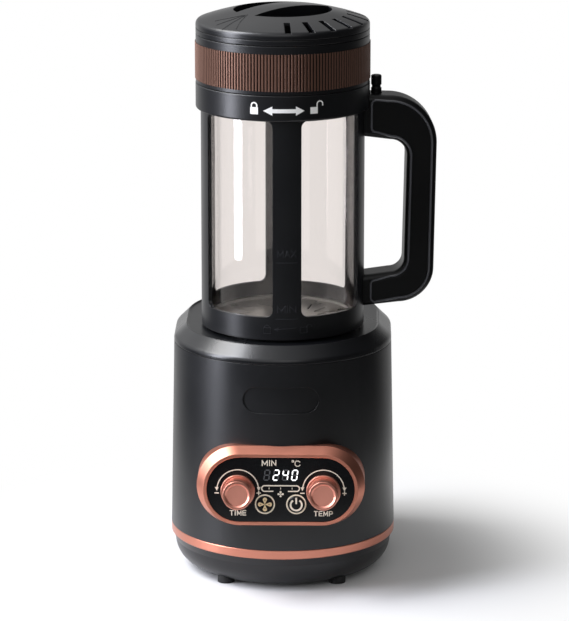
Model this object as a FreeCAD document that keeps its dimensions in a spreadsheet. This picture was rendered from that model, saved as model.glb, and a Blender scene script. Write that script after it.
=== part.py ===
"""Home coffee bean roaster of the hot-air kind, as a parametric document.

The origin is on the roaster's upright axis at worktop level.  +Z is up, -Y is the control side
and +X is the side of the jug's handle.  Lengths are in millimetres, angles in degrees.
Every size stands once in SIZES, which fills the spreadsheet; all else is bound to those cells.
"""
import FreeCAD, Part
import math
import os
import re
import Sketcher
from FreeCAD import Placement, Rotation, Vector

SIZES = {
    # outer form of the base
    "foot_height": 2.0,            # worktop to the flat bottom of the bowl
    "foot_rise": 7.0,              # worktop to the top of a rubber foot
    "foot_radius": 6.0,
    "foot_inset": 16.0,            # base edge to the middle of a foot
    "foot_angle": 52.0,            # from the handle side towards the front or the back
    "base_radius": 80.0,           # widest, at the metal band
    "base_run": 34.0,               # straight run of the sides between the round front and back
    "barrel_taper": 2.7,           # the barrel narrows upwards
    "base_wall": 2.6,
    "bowl_height": 23.4,           # flat bottom to the band
    "bowl_radius": 18.0,           # quarter round at the bottom
    "bowl_step": 0.8,              # the bowl stands back from the band
    "bowl_taper": 2.0,             # and narrows down to the quarter round
    "bowl_floor_wall": 4.0,
    "intake_edge": 7.5,            # overlap of the grille on the bowl
    "band_height": 6.6,
    "band_bevel": 0.5,
    "barrel_height": 133.3,
    "lip_height": 5.0,             # shells plug into each other
    "lip_wall": 2.0,
    "overrun": 1.0,                 # a cutter reaches this far past the face that it opens
    "fit_clearance": 0.15,         # between fixed pieces
    "free_clearance": 0.6,         # between pieces that lift or turn by hand
    # cover of the base and the well that takes the jug
    "seam_bevel": 0.5,
    "cover_edge": 2.2,
    "cover_edge_rise": 4.6,
    "cover_edge_inset": 1.3,
    "cover_edge_round": 4.0,
    "cover_height": 12.1,
    "deck_width": 17.5,
    "ridge_lip": 1.0,
    "ridge_lip_width": 1.4,
    "cover_wall": 2.6,
    "well_depth": 12.4,
    "well_floor_wall": 3.0,
    "outlet_radius": 34.0,
    # bayonets: three lugs that drop in and turn under a rim
    "lug_angle": 22.0,
    "lug_play": 3.0,
    "lug_reach": 2.8,
    "lug_height": 4.4,
    "lug_rise": 2.0,
    "lid_lug_rise": 1.4,
    "cap_lug_height": 3.4,
    "jug_turn": 18.0,
    "lid_turn": 30.0,
    "cap_turn": 20.0,
    # jug
    "jug_heading": 4.0,            # the jug as seated, turned from square to the base
    "jug_gap": 1.9,                # deck of the base to the foot of the cage
    "seat_seal_height": 1.2,
    "spigot_radius": 50.2,
    "spigot_wall": 4.0,
    "cage_radius": 57.6,
    "cage_wall": 2.8,
    "foot_ring_height": 16.3,
    "window_height": 138.7,
    "window_corner": 5.0,
    "cage_overlap": 5.2,           # cage top inside the collar
    "front_post_angle": 20.0,
    "left_post_angle": 44.0,
    "handle_post_angle": 54.0,
    "foot_flange_height": 3.2,
    "glass_radius": 53.2,
    "glass_wall": 2.5,
    "glass_seal_height": 3.0,
    "top_seal_height": 1.5,
    "air_plate_thickness": 1.0,
    "air_slot_count": 18,
    "air_slot_width": 1.6,
    "air_slot_length": 16.0,
    "collar_radius": 61.1,
    "collar_round": 1.5,
    "collar_height": 18.1,
    "collar_ledge": 1.5,
    "collar_ledge_radius": 47.5,
    # handle, in the plane through the axis
    "handle_width": 25.0,
    "handle_reach": 107.9,
    "handle_taper": 1.5,           # the foot of the grip stands nearer to the jug than its head
    "handle_rise": 9.5,            # top of the handle above the windows
    "handle_drop": 4.2,            # underside of the handle below the windows
    "handle_slope": 3.0,
    "arm_top_height": 29.2,
    "arm_low_height": 22.2,
    "grip_width": 21.2,
    "handle_top_round": 34.0,
    "handle_low_round": 25.0,
    "gap_top_round": 11.5,
    "gap_low_round": 9.5,
    "handle_edge_round": 4.0,
    "cheek_inset": 4.6,
    "cheek_depth": 0.8,
    "handle_screw_radius": 1.9,
    "handle_screw_length": 14.0,
    "handle_screw_head": 3.6,
    "handle_screw_head_height": 1.2,
    # interlock pin on top of the handle
    "pin_radius": 3.7,
    "pin_offset": 4.6,             # outside of the collar to the pin's axis
    "pin_stand": 12.4,             # above the top of the handle
    "pin_neck": 0.6,
    "pin_head_depth": 6.0,
    "pin_stem_radius": 1.6,
    "pin_stem_length": 5.0,
    "pin_bore_depth": 15.0,
    "pin_clearance": 0.3,
    "pin_travel": 3.0,
    "spring_wire": 0.5,
    "spring_turns": 3.0,
    # lid
    "lid_gap": 0.5,
    "lid_radius": 60.9,
    "lid_flange_height": 2.5,
    "lid_floor_wall": 2.4,
    "lid_wall": 2.0,
    "lid_bore_radius": 20.0,
    "gasket_height": 1.4,
    "skirt_radius": 50.4,
    "skirt_wall": 2.4,
    "sleeve_radius": 61.4,
    "sleeve_height": 25.6,
    "sleeve_wall": 1.8,
    "rib_count": 168,
    "rib_depth": 0.7,
    "rib_share": 0.45,             # part of the pitch that the crest of a rib takes
    "rim_height": 5.6,
    "rim_depth": 9.0,
    "rim_ledge": 1.5,
    "rim_ledge_radius": 47.0,
    "chimney_height": 9.0,
    "chimney_wall": 1.2,
    "chimney_flange": 4.0,
    "mesh_thickness": 1.0,
    "mesh_slot_count": 12,
    "mesh_slot_inner": 5.0,
    "mesh_slot_width": 2.4,
    "mesh_margin": 1.0,
    # cap of the lid
    "cap_gap": 0.4,
    "cap_edge_height": 9.2,
    "cap_groove": 0.6,
    "cap_round": 3.2,
    "cap_groove_rise": 3.4,
    "cap_flange": 2.2,
    "dome_slope": 19.5,            # of the dome at its edge
    "dome_wall": 2.4,
    "cap_skirt_radius": 51.6,
    "cap_skirt_wall": 2.2,
    "screen_thickness": 1.2,
    "screen_slot_count": 24,
    "screen_slot_inner": 14.0,
    "screen_slot_outer": 44.0,
    "screen_slot_width": 1.6,
    "finger_radius": 34.5,
    "finger_wall": 2.2,
    "finger_depth": 17.0,
    "bar_width": 19.4,
    "bar_angle": 36.5,
    "vent_count": 12,
    "vent_first": -89.4,
    "vent_pitch": 16.0,
    "vent_inner": 44.8,
    "vent_outer": 59.8,
    "vent_width": 4.2,
    # control pod, built lying flat and then stood on the front of the barrel
    "pod_height": 78.4,            # worktop to the middle of the panel
    "pod_stand": 6.2,              # base edge to the face of the frame
    "panel_tilt": 3.0,
    "panel_width": 103.2,
    "panel_height": 46.0,
    "panel_thickness": 2.0,
    "panel_sink": 0.8,
    "frame_rim": 2.3,
    "frame_flare": 4.7,            # how far the bevel spreads above and beside the panel
    "frame_flare_low": 1.0,        # and below it
    "frame_bevel": 6.5,
    "frame_depth": 40.0,
    "frame_wall": 2.4,
    "frame_ledge": 2.6,
    "knob_inset": 21.8,             # panel edge to a knob's axis
    "knob_drop": 0.8,
    "knob_gap": 0.5,
    "knob_flange_radius": 11.9,
    "knob_flange_height": 3.2,
    "knob_radius": 10.2,
    "knob_length": 15.0,
    "knob_dish": 1.0,
    "knob_rim": 1.2,
    "knob_shaft_radius": 3.0,
    "knob_shaft_depth": 9.0,
    "bearing_clearance": 0.05,
    "button_inset": 18.9,           # knob's axis to the axis of the button beside it
    "button_drop": 10.4,
    "button_ring_radius": 7.0,
    "button_ring_wall": 0.9,
    "button_ring_proud": 0.3,
    "button_proud": 0.9,
    "button_travel": 0.8,
    "button_clearance": 0.3,
    "button_flange": 0.6,
    "button_flange_height": 0.8,
    "board_depth": 8.6,            # face of the frame to the face of the board
    "board_inset": 6.6,             # panel edge to board edge
    "board_inset_low": 6.0,
    "board_thickness": 1.6,
    "spacer_radius": 2.5,
    "spacer_inset": 5.0,
    "spacer_y": 10.0,
    "encoder_size": 12.5,
    "display_width": 28.0,
    "display_height": 12.0,
    "display_rise": 9.1,
    "display_thickness": 4.4,
    "display_edge": 1.0,
    "switch_size": 6.0,
    "switch_plunger": 1.7,
    "switch_step": 1.0,
    # blank recess for a badge
    "badge_width": 53.0,
    "badge_height": 18.6,
    "badge_rise": 140.0,
    "badge_depth": 0.8,
    # back of the barrel
    "grille_slot_count": 11,
    "grille_slot_angle": 2.2,
    "grille_slot_pitch": 5.0,
    "grille_slot_rise": 112.0,
    "grille_slot_height": 26.0,
    "gland_rise": 50.0,
    "gland_radius": 6.5,
    "gland_flange": 9.0,
    "gland_bore": 3.4,
    "gland_stand": 2.5,
    "gland_depth": 9.0,
    # blower, heater and boards inside
    "intake_play": 0.5,
    "intake_thickness": 2.0,
    "intake_slot_count": 16,
    "intake_slot_width": 2.6,
    "intake_slot_inner": 12.0,
    "intake_margin": 4.0,
    "post_radius": 4.0,
    "post_inset": 6.0,
    "post_angle": 45.0,
    "blower_rise": 62.0,
    "blower_plate": 3.0,
    "blower_room": 24.0,
    "blower_inlet": 24.0,
    "blower_hub": 12.0,
    "blower_arm": 6.0,
    "blower_wall": 2.0,
    "blower_drum_height": 20.0,
    "blower_cone_height": 19.0,
    "screw_radius": 1.5,
    "screw_head_radius": 2.9,
    "screw_head_height": 2.0,
    "screw_length": 10.0,
    "grille_screw_depth": 3.0,
    "motor_radius": 19.0,
    "motor_height": 34.0,
    "motor_step": 2.0,
    "bearing_radius": 5.0,
    "shaft_radius": 2.5,
    "impeller_room": 12.0,
    "impeller_inner": 22.0,
    "impeller_gap": 2.0,
    "impeller_height": 14.0,
    "impeller_plate": 1.6,
    "impeller_hub": 7.0,
    "blade_count": 12,
    "blade_thickness": 1.4,
    "blade_lean": 35.0,
    "duct_radius": 41.0,
    "duct_wall": 1.2,
    "duct_gasket_height": 3.0,
    "mica_thickness": 1.2,
    "mica_margin": 6.0,
    "coil_radius": 30.0,
    "coil_count": 4,
    "coil_pitch": 10.0,
    "coil_wire": 1.2,
    "cutout_radius": 8.0,
    "cutout_height": 7.0,
    "cutout_rise": 130.0,
    "mains_board_width": 70.0,
    "mains_board_height": 42.0,
    "mains_board_rise": 56.0,
    "mains_board_gap": 5.0,
    "mains_board_thickness": 1.6,
    "mains_part_width": 36.0,
    "mains_part_depth": 8.5,
    "mains_part_rise": 16.0,
    "rail_thickness": 3.0,
    "jug_switch_width": 19.0,
    "jug_switch_depth": 5.8,
    "jug_switch_height": 10.0,
}

# sizes that follow from those above
DERIVED = {
    # heights above the worktop
    "bowl_floor": "foot_height + bowl_floor_wall",
    "bowl_corner": "foot_height + bowl_radius",
    "band_low": "foot_height + bowl_height",
    "band_top": "band_low + band_height",
    "seam_level": "band_top + barrel_height",
    "ridge_top": "seam_level + cover_height",
    "deck_top": "ridge_top - ridge_lip",
    "well_floor": "deck_top - well_depth",
    "cover_underside": "well_floor - well_floor_wall",
    "jug_seat": "well_floor + seat_seal_height",
    "cage_low": "deck_top + jug_gap",
    "flange_top": "cage_low + foot_flange_height",
    "glass_low": "flange_top + glass_seal_height",
    "window_low": "cage_low + foot_ring_height",
    "window_top": "window_low + window_height",
    "cage_top": "window_top + cage_overlap",
    "ledge_top": "cage_top + collar_ledge",
    "collar_top": "window_top + collar_height",
    "handle_top": "window_top + handle_rise",
    "handle_low": "window_low - handle_drop",
    "skirt_low": "ledge_top + gasket_height",
    "lid_low": "collar_top + lid_gap",
    "sleeve_low": "lid_low + lid_flange_height",
    "lid_floor": "sleeve_low + lid_wall / 2",
    "sleeve_top": "sleeve_low + sleeve_height",
    "rim_top": "sleeve_top + rim_height",
    "rim_low": "sleeve_top - rim_depth",
    "screen_seat": "rim_low + rim_ledge",
    "cap_seat": "screen_seat + screen_thickness",
    "cap_low": "rim_top + cap_gap",
    "cap_edge": "cap_low + cap_edge_height",
    "cap_bend": "cap_edge - cap_round * cos(dome_slope)",
    "cap_top": "cap_edge + (lid_radius - cap_round * (1 - sin(dome_slope))) * tan(dome_slope / 2)",
    "blower_top": "blower_rise + blower_plate",
    "drum_top": "blower_top + blower_drum_height",
    "cone_top": "drum_top + blower_cone_height",
    "impeller_low": "blower_top + impeller_gap",
    "impeller_top": "impeller_low + impeller_height + impeller_plate",
    # base
    "base_top_radius": "base_radius - barrel_taper",
    "base_back": "base_radius + base_run",
    "ridge_radius": "well_bore + deck_width",
    "foot_spread": "base_radius - foot_inset",
    "lip_outer": "base_radius - base_wall - fit_clearance",
    "lip_inner": "lip_outer - lip_wall",
    "bowl_edge": "base_radius - bowl_step - bowl_taper",
    "bowl_centre": "bowl_edge - bowl_radius",
    "bowl_inner": "bowl_radius - bowl_floor_wall",
    "skirt_outer": "base_top_radius - base_wall - fit_clearance",
    "skirt_inner": "skirt_outer - lip_wall",
    "well_bore": "spigot_radius + free_clearance",
    "well_track": "spigot_radius + lug_reach + free_clearance",
    "well_outer": "well_track + cover_wall",
    "gland_face": "base_back - barrel_taper * (gland_rise - band_top) / barrel_height",
    # jug and lid
    "cage_bore": "cage_radius - cage_wall",
    "glass_bore": "glass_radius - glass_wall",
    "collar_bore": "skirt_radius + free_clearance",
    "collar_track": "skirt_radius + lug_reach + free_clearance",
    "handle_gap": "handle_reach - grip_width",
    "handle_root": "cage_radius - 2 * cage_wall",
    "pin_reach": "collar_radius + pin_offset",
    "pin_low": "handle_top - pin_head_depth",
    "sleeve_bore": "sleeve_radius - sleeve_wall",
    "lid_outer": "sleeve_bore - fit_clearance",
    "lid_bore": "lid_outer - lid_wall",
    "rim_outer": "lid_bore - fit_clearance",
    "rim_bore": "cap_skirt_radius + free_clearance",
    "rim_track": "cap_skirt_radius + lug_reach + free_clearance",
    "skirt_bore": "cap_skirt_radius - cap_skirt_wall",
    # control pod
    "pod_reach": "base_radius + pod_stand",
    "frame_width": "panel_width + 2 * frame_rim",
    "frame_height": "panel_height + 2 * frame_rim",
    "flare_width": "frame_width + 2 * frame_flare",
    "flare_height": "frame_height + frame_flare + frame_flare_low",
    "flare_lift": "(frame_flare - frame_flare_low) / 2",
    "flare_bore_width": "flare_width - 2 * frame_wall",
    "flare_bore_height": "flare_height - 2 * frame_wall",
    "panel_back": "panel_sink + panel_thickness",
    "knob_spacing": "panel_width / 2 - knob_inset",
    "button_spacing": "knob_spacing - button_inset",
    "knob_low": "knob_gap - panel_sink",
    "knob_shaft_top": "knob_low + knob_shaft_depth",
    "button_ring_bore": "button_ring_radius - button_ring_wall",
    "button_radius": "button_ring_bore - button_clearance",
    "board_width": "panel_width - 2 * board_inset",
    "board_height": "panel_height - 2 * board_inset_low",
    "spacer_x": "board_width / 2 - spacer_inset",
    # blower, heater and boards
    "blower_radius": "base_radius - blower_room",
    "post_spread": "blower_radius - post_inset",
    "intake_radius": "post_spread - post_radius - intake_play",
    "bowl_hole_radius": "intake_radius - intake_edge",
    "intake_slot_outer": "bowl_hole_radius - intake_margin",
    "grille_screw_spread": "(intake_radius + bowl_hole_radius) / 2",
    "impeller_radius": "blower_radius - impeller_room",
    "duct_bore": "duct_radius - duct_wall",
    "duct_height": "cover_underside - duct_gasket_height - cone_top",
    "mains_board_reach": "blower_radius + mains_board_gap + base_run",
}

document = FreeCAD.newDocument("coffee_roaster")
sheet = document.addObject("Spreadsheet::Sheet", "Sizes")
for row, (name, size) in enumerate(SIZES.items(), start=1):
    sheet.set("A%d" % row, name)
    sheet.set("B%d" % row, str(size))
    sheet.setAlias("B%d" % row, name)
document.recompute()

NAME = re.compile(r"[a-z][a-z_]*")


def term(name):
    """A name of the SIZES as a cell, one of the DERIVED written out, or else as it stands."""
    if name in DERIVED:
        return "(%s)" % formula(DERIVED[name])
    return "Sizes." + name if name in SIZES else name


def formula(text):
    """The text as an expression that reads the spreadsheet."""
    return NAME.sub(lambda found: term(found.group()), str(text))


def number(text):
    """The present value of a text of sizes."""
    return float(sheet.evalExpression(formula(text)))


def bind(thing, **sizes):
    """Binds properties to texts of sizes; a double underscore stands for a dot in a path."""
    for path, text in sizes.items():
        thing.setExpression(path.replace("__", "."), formula(text))
    return thing


def spun(thing, angle):
    """Turns an object about the roaster's axis."""
    thing.Placement = Placement(thing.Placement.Base, Rotation(Vector(0, 0, 1), 1))
    return bind(thing, Placement__Rotation__Angle=angle)


def cylinder(radius, height, z="0", x="0", y="0"):
    """An upright cylinder that stands at z."""
    thing = document.addObject("Part::Cylinder", "Cylinder")
    return bind(thing, Radius=radius, Height=height,
                Placement__Base__x=x, Placement__Base__y=y, Placement__Base__z=z)


def sector(radius, height, z, start, sweep):
    """A slice of a cylinder about the roaster's axis."""
    return spun(bind(cylinder(radius, height, z), Angle=sweep), start)


def box(length, width, height, x="0", y="0", z="0"):
    """A box whose middle is at x and y and which stands at z."""
    thing = document.addObject("Part::Box", "Box")
    return bind(thing, Length=length, Width=width, Height=height,
                Placement__Base__x="%s - (%s) / 2" % (x, length),
                Placement__Base__y="%s - (%s) / 2" % (y, width), Placement__Base__z=z)


def ray_box(inner, outer, width, height, z, angle):
    """A box that points away from the axis at an angle, from an inner to an outer radius."""
    thing = spun(document.addObject("Part::Box", "Ray"), angle)
    return bind(thing, Length="%s - (%s)" % (outer, inner), Width=width, Height=height,
                Placement__Base__x="(%s) * cos(%s) + (%s) / 2 * sin(%s)" % (inner, angle, width, angle),
                Placement__Base__y="(%s) * sin(%s) - (%s) / 2 * cos(%s)" % (inner, angle, width, angle),
                Placement__Base__z=z)


def fuse(*things):
    """The union of several objects."""
    thing = document.addObject("Part::MultiFuse", "Union")
    thing.Shapes = list(things)
    return thing


def cut(base, *tools):
    """An object less one or more others."""
    thing = document.addObject("Part::Cut", "Remainder")
    thing.Base = base
    thing.Tool = tools[0] if len(tools) == 1 else fuse(*tools)
    return thing


def common(first, second):
    """What two objects share."""
    thing = document.addObject("Part::Common", "Shared")
    thing.Base = first
    thing.Tool = second
    return thing


def ring(outer, inner, height, z, x="0", y="0"):
    """A round tube or washer."""
    return cut(cylinder(outer, height, z, x, y), cylinder(inner, height, z, x, y))


def arc_between(start, end, radius):
    """The shorter arc from start to end; a positive radius turns left, a negative one right."""
    chord = end - start
    middle = (start + end) / 2
    left = Vector(-chord.y, chord.x, 0).normalize()
    side = 1 if radius > 0 else -1
    height = max(radius ** 2 - chord.Length ** 2 / 4, 0) ** 0.5
    crown = middle + left * side * (height - abs(radius))
    return Part.Arc(start, crown, end)


def place_point(sketch, edge, end, kind, text):
    """Binds one co-ordinate of a point, or puts the point on the axis where that is zero."""
    if text == "0":
        axis = -2 if kind == "DistanceX" else -1
        sketch.addConstraint(Sketcher.Constraint("PointOnObject", edge, end, axis))
        return
    rule = sketch.addConstraint(Sketcher.Constraint(kind, -1, 1, edge, end, number(text)))
    sketch.setExpression("Constraints[%d]" % rule, formula(text))


def closed_outline(sketch, points):
    """Draws a closed outline whose points, and the radii of its arcs, are bound to the sheet.

    A point is (x, y), or (x, y, radius) where an arc leads on from it.
    """
    first = sketch.GeometryCount
    spots = [Vector(number(point[0]), number(point[1]), 0) for point in points]
    ends = []
    for place, point in enumerate(points):
        start, end = spots[place], spots[(place + 1) % len(points)]
        edge = Part.LineSegment(start, end)
        if len(point) == 3:
            edge = arc_between(start, end, number(point[2]))
        drawn = sketch.addGeometry(edge)
        near = (sketch.getPoint(drawn, 1) - start).Length < 1e-6
        ends.append((1, 2) if near else (2, 1))
    for place, point in enumerate(points):
        following = (place + 1) % len(points)
        sketch.addConstraint(Sketcher.Constraint("Coincident", first + place, ends[place][1],
                                                 first + following, ends[following][0]))
        if len(point) == 3:
            rule = sketch.addConstraint(Sketcher.Constraint("Radius", first + place, abs(number(point[2]))))
            sketch.setExpression("Constraints[%d]" % rule, formula("abs(%s)" % point[2]))
        place_point(sketch, first + place, ends[place][0], "DistanceX", point[0])
        place_point(sketch, first + place, ends[place][0], "DistanceY", point[1])


def oblong_outline(sketch, width, height, rise="0"):
    """Draws an oblong with half-round ends about the middle of the sketch, or that far above it."""
    radius, reach, level = number(height) / 2, (number(width) - number(height)) / 2, number(rise)
    up = Vector(0, 0, 1)
    quarter = math.pi / 2
    left = sketch.addGeometry(Part.ArcOfCircle(Part.Circle(Vector(-reach, level, 0), up, radius),
                                               quarter, 3 * quarter))
    right = sketch.addGeometry(Part.ArcOfCircle(Part.Circle(Vector(reach, level, 0), up, radius),
                                                -quarter, quarter))
    low = sketch.addGeometry(Part.LineSegment(Vector(-reach, level - radius, 0),
                                              Vector(reach, level - radius, 0)))
    top = sketch.addGeometry(Part.LineSegment(Vector(reach, level + radius, 0),
                                              Vector(-reach, level + radius, 0)))
    for first, first_end, second, second_end in ((left, 2, low, 1), (low, 2, right, 1),
                                                 (right, 2, top, 1), (top, 2, left, 1)):
        sketch.addConstraint(Sketcher.Constraint("Tangent", first, first_end, second, second_end))
    sketch.addConstraint(Sketcher.Constraint("Equal", left, right))
    for end, side in ((left, -1), (right, 1)):
        place_point(sketch, end, 3, "DistanceY", rise)
        rule = sketch.addConstraint(Sketcher.Constraint("DistanceX", -1, 1, end, 3, side * reach))
        sketch.setExpression("Constraints[%d]" % rule,
                             formula("%d * ((%s) - (%s)) / 2" % (side, width, height)))
    rule = sketch.addConstraint(Sketcher.Constraint("Radius", right, radius))
    sketch.setExpression("Constraints[%d]" % rule, formula("(%s) / 2" % height))


def sketch_on(body, role, lift="0"):
    """An empty sketch on one of the body's own origin planes, lifted along its normal."""
    sketch = body.newObject("Sketcher::SketchObject", "Outline")
    plane = [feature for feature in body.Origin.OriginFeatures if feature.Role == role][0]
    sketch.AttachmentSupport = [(plane, "")]
    sketch.MapMode = "FlatFace"
    return bind(sketch, AttachmentOffset__Base__z=lift)


def turned(points, sweep=360):
    """A body turned about the roaster's axis from an outline of radii and heights."""
    body = document.addObject("PartDesign::Body", "Turned")
    sketch = sketch_on(body, "XZ_Plane")
    closed_outline(sketch, points)
    turn = body.newObject("PartDesign::Revolution", "Turn")
    turn.Profile = sketch
    turn.ReferenceAxis = (sketch, ["V_Axis"])
    turn.Angle = sweep
    turn.Reversed = sweep < 360
    return body


def run_of(points):
    """The straight run of one side of the base, from an outline of radii and heights."""
    body = document.addObject("PartDesign::Body", "Run")
    sketch = sketch_on(body, "XZ_Plane")
    closed_outline(sketch, points)
    pad = body.newObject("PartDesign::Pad", "Pad")
    pad.Profile = sketch
    pad.Reversed = True
    bind(pad, Length="base_run")
    return body


def at_back(thing):
    """Turns an object round to face the back and moves it there."""
    return bind(spun(thing, "180"), Placement__Base__y="base_run")


def oval(points):
    """A solid with a half-round front about the roaster's axis, straight sides and a like back."""
    thing = fuse(turned(points, 180), run_of(points), at_back(run_of(points)), at_back(turned(points, 180)))
    thing.Refine = True
    return thing


def column(radius, low, top):
    """An oval solid with upright sides."""
    return oval([("0", low), (radius, low), (radius, top), ("0", top)])


def oblong_block(width, height, depth, lift="0", rise="0"):
    """An oblong block on the XY plane, from lift upwards."""
    body = document.addObject("PartDesign::Body", "Oblong")
    sketch = sketch_on(body, "XY_Plane", lift)
    oblong_outline(sketch, width, height, rise)
    pad = body.newObject("PartDesign::Pad", "Pad")
    pad.Profile = sketch
    bind(pad, Length=depth)
    return body


pieces = []


def piece(label, thing):
    """Names a finished sub-part."""
    thing.Label = label
    pieces.append(thing)
    return thing


def jug_piece(label, thing):
    """Names a finished sub-part that is turned with the seated jug."""
    return piece(label, spun(thing, "jug_heading"))


def stood(thing, x="0", y="0"):
    """Stands what was built lying flat on the front of the barrel, tilted back with the panel."""
    thing.Placement = Placement(Vector(0, 0, 0), Rotation(Vector(1, 0, 0), 1))
    return bind(thing, Placement__Base__x=x, Placement__Base__y="(%s) * sin(panel_tilt) - pod_reach" % y,
                Placement__Base__z="(%s) * cos(panel_tilt) + pod_height" % y,
                Placement__Rotation__Angle="90 - panel_tilt")


def lugs(radius, bore, height, z):
    """Three bayonet lugs on a spigot of a given bore."""
    slices = [sector(radius, height, z, "%d - lug_angle / 2" % angle, "lug_angle") for angle in (0, 120, 240)]
    return cut(fuse(*slices), cylinder(bore, height, z))


def tracks(radius, low, top, mouth, turn, side, heading="0"):
    """Three L-shaped bayonet tracks: a way down from the mouth, then a way round under the rim."""
    half = "(lug_angle / 2 + lug_play)"
    behind = turn if side < 0 else "0"
    ways = []
    for angle in (0, 120, 240):
        start = "%d + %s - %s" % (angle, heading, half)
        ways.append(sector(radius, "%s - %s + overrun" % (mouth, low), low, start, "2 * %s" % half))
        ways.append(sector(radius, "%s - %s" % (top, low), low, "%s - %s" % (start, behind),
                           "2 * %s + %s" % (half, turn)))
    return fuse(*ways)


def around(count, first="0"):
    """Evenly spaced angles for a number of like features."""
    return ["%s + %d * 360 / %d" % (first, place, count) for place in range(count)]


# ---- base: bowl, feet, band, barrel, cover ----

def bowl_form():
    """The bowl's outer form as a solid."""
    return oval([("0", "foot_height"), ("bowl_centre", "foot_height", "bowl_radius"),
                 ("bowl_edge", "bowl_corner"), ("base_radius - bowl_step", "band_low"), ("0", "band_low")])


def barrel_form(inset="0"):
    """The barrel's outer form as a solid, or one that stands inside it."""
    return oval([("0", "band_top"), ("base_radius - (%s)" % inset, "band_top"),
                 ("base_top_radius - (%s)" % inset, "seam_level"), ("0", "seam_level")])


def post_places():
    """Where the four blower posts stand."""
    return [("post_spread * cos(%s)" % angle, "post_spread * sin(%s)" % angle)
            for angle in around(4, "post_angle")]


def lower_shell():
    """Moulded bowl with an intake hole, a plug-in rim and four posts for the blower."""
    rim_top = "band_top + lip_height"
    hollow = oval([("0", "bowl_floor"), ("lip_inner - bowl_inner", "bowl_floor", "bowl_inner"),
                   ("lip_inner", "bowl_corner"), ("lip_inner", rim_top), ("0", rim_top)])
    intake = cylinder("bowl_hole_radius", "bowl_floor - foot_height", "foot_height")
    shell = cut(fuse(bowl_form(), column("lip_outer", "band_low", rim_top)), hollow, intake)
    low = "(bowl_floor - overrun)"
    posts = [cylinder("post_radius", "blower_rise - %s" % low, low, x, y) for x, y in post_places()]
    holes = [cylinder("screw_radius", "screw_length", "blower_top - screw_length", x, y)
             for x, y in post_places()]
    holes += [cylinder("screw_radius", "grille_screw_depth", "bowl_floor - grille_screw_depth", x, y)
              for x, y in grille_screw_places()]
    return cut(fuse(shell, *posts), *holes)


def rubber_feet():
    """Four feet whose tops follow the bowl."""
    feet = []
    for side, end in ((1, 1), (-1, 1), (-1, -1), (1, -1)):
        feet.append(cylinder("foot_radius", "foot_rise", "0", "%d * foot_spread * cos(foot_angle)" % side,
                             "%d * (foot_spread * sin(foot_angle) + base_run / 2) + base_run / 2" % end))
    return cut(fuse(*feet), bowl_form())


def trim_band():
    """Plated ring between bowl and barrel, with both outer edges bevelled."""
    band = oval([("0", "band_low"), ("base_radius - band_bevel", "band_low"),
                 ("base_radius", "band_low + band_bevel"), ("base_radius", "band_top - band_bevel"),
                 ("base_radius - band_bevel", "band_top"), ("0", "band_top")])
    return cut(band, column("base_radius - base_wall", "band_low", "band_top"))


def badge_recess():
    """What the shallow blank recess takes out of the barrel."""
    block = oblong_block("badge_width", "badge_height", "base_radius")
    block.Placement = Placement(Vector(0, 0, 0), Rotation(Vector(1, 0, 0), 90))
    bind(block, Placement__Base__z="badge_rise")
    return cut(block, barrel_form("badge_depth"))


def rear_grille():
    """Upright slots in the back of the barrel."""
    middle = (number("grille_slot_count") - 1) / 2
    slots = []
    for place in range(int(number("grille_slot_count"))):
        start = "90 + %s * grille_slot_pitch - grille_slot_angle / 2" % (place - middle)
        slots.append(sector("base_radius + base_wall", "grille_slot_height", "grille_slot_rise", start,
                            "grille_slot_angle"))
    return bind(fuse(*slots), Placement__Base__y="base_run")


def board_rails():
    """Two ribs inside the back of the barrel that hold the mains board by its edges."""
    ribs = []
    for side in (-1, 1):
        ribs.append(box("rail_thickness", "base_back - mains_board_reach", "mains_board_height",
                        "%d * (mains_board_width + rail_thickness) / 2" % side,
                        "(base_back + mains_board_reach) / 2", "mains_board_rise"))
    return common(fuse(*ribs), barrel_form("base_wall / 2"))


def body_barrel():
    """Tapered barrel with openings for the control pod, the rear grille and the cord."""
    shell = cut(barrel_form(), barrel_form("base_wall"))
    opening = stood(oblong_block("flare_bore_width", "flare_bore_height", "frame_depth", "-frame_depth",
                                 "flare_lift"))
    hole = lying_back(cylinder("gland_radius + fit_clearance", "4 * base_wall"), "-2 * base_wall")
    return cut(fuse(shell, board_rails()), opening, badge_recess(), rear_grille(), hole)


def lying_back(thing, reach="0"):
    """Points what was built upright out of the back of the barrel at the height of the cord."""
    thing.Placement = Placement(Vector(0, 0, 0), Rotation(Vector(1, 0, 0), -90))
    return bind(thing, Placement__Base__y="gland_face + %s" % reach, Placement__Base__z="gland_rise")


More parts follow.
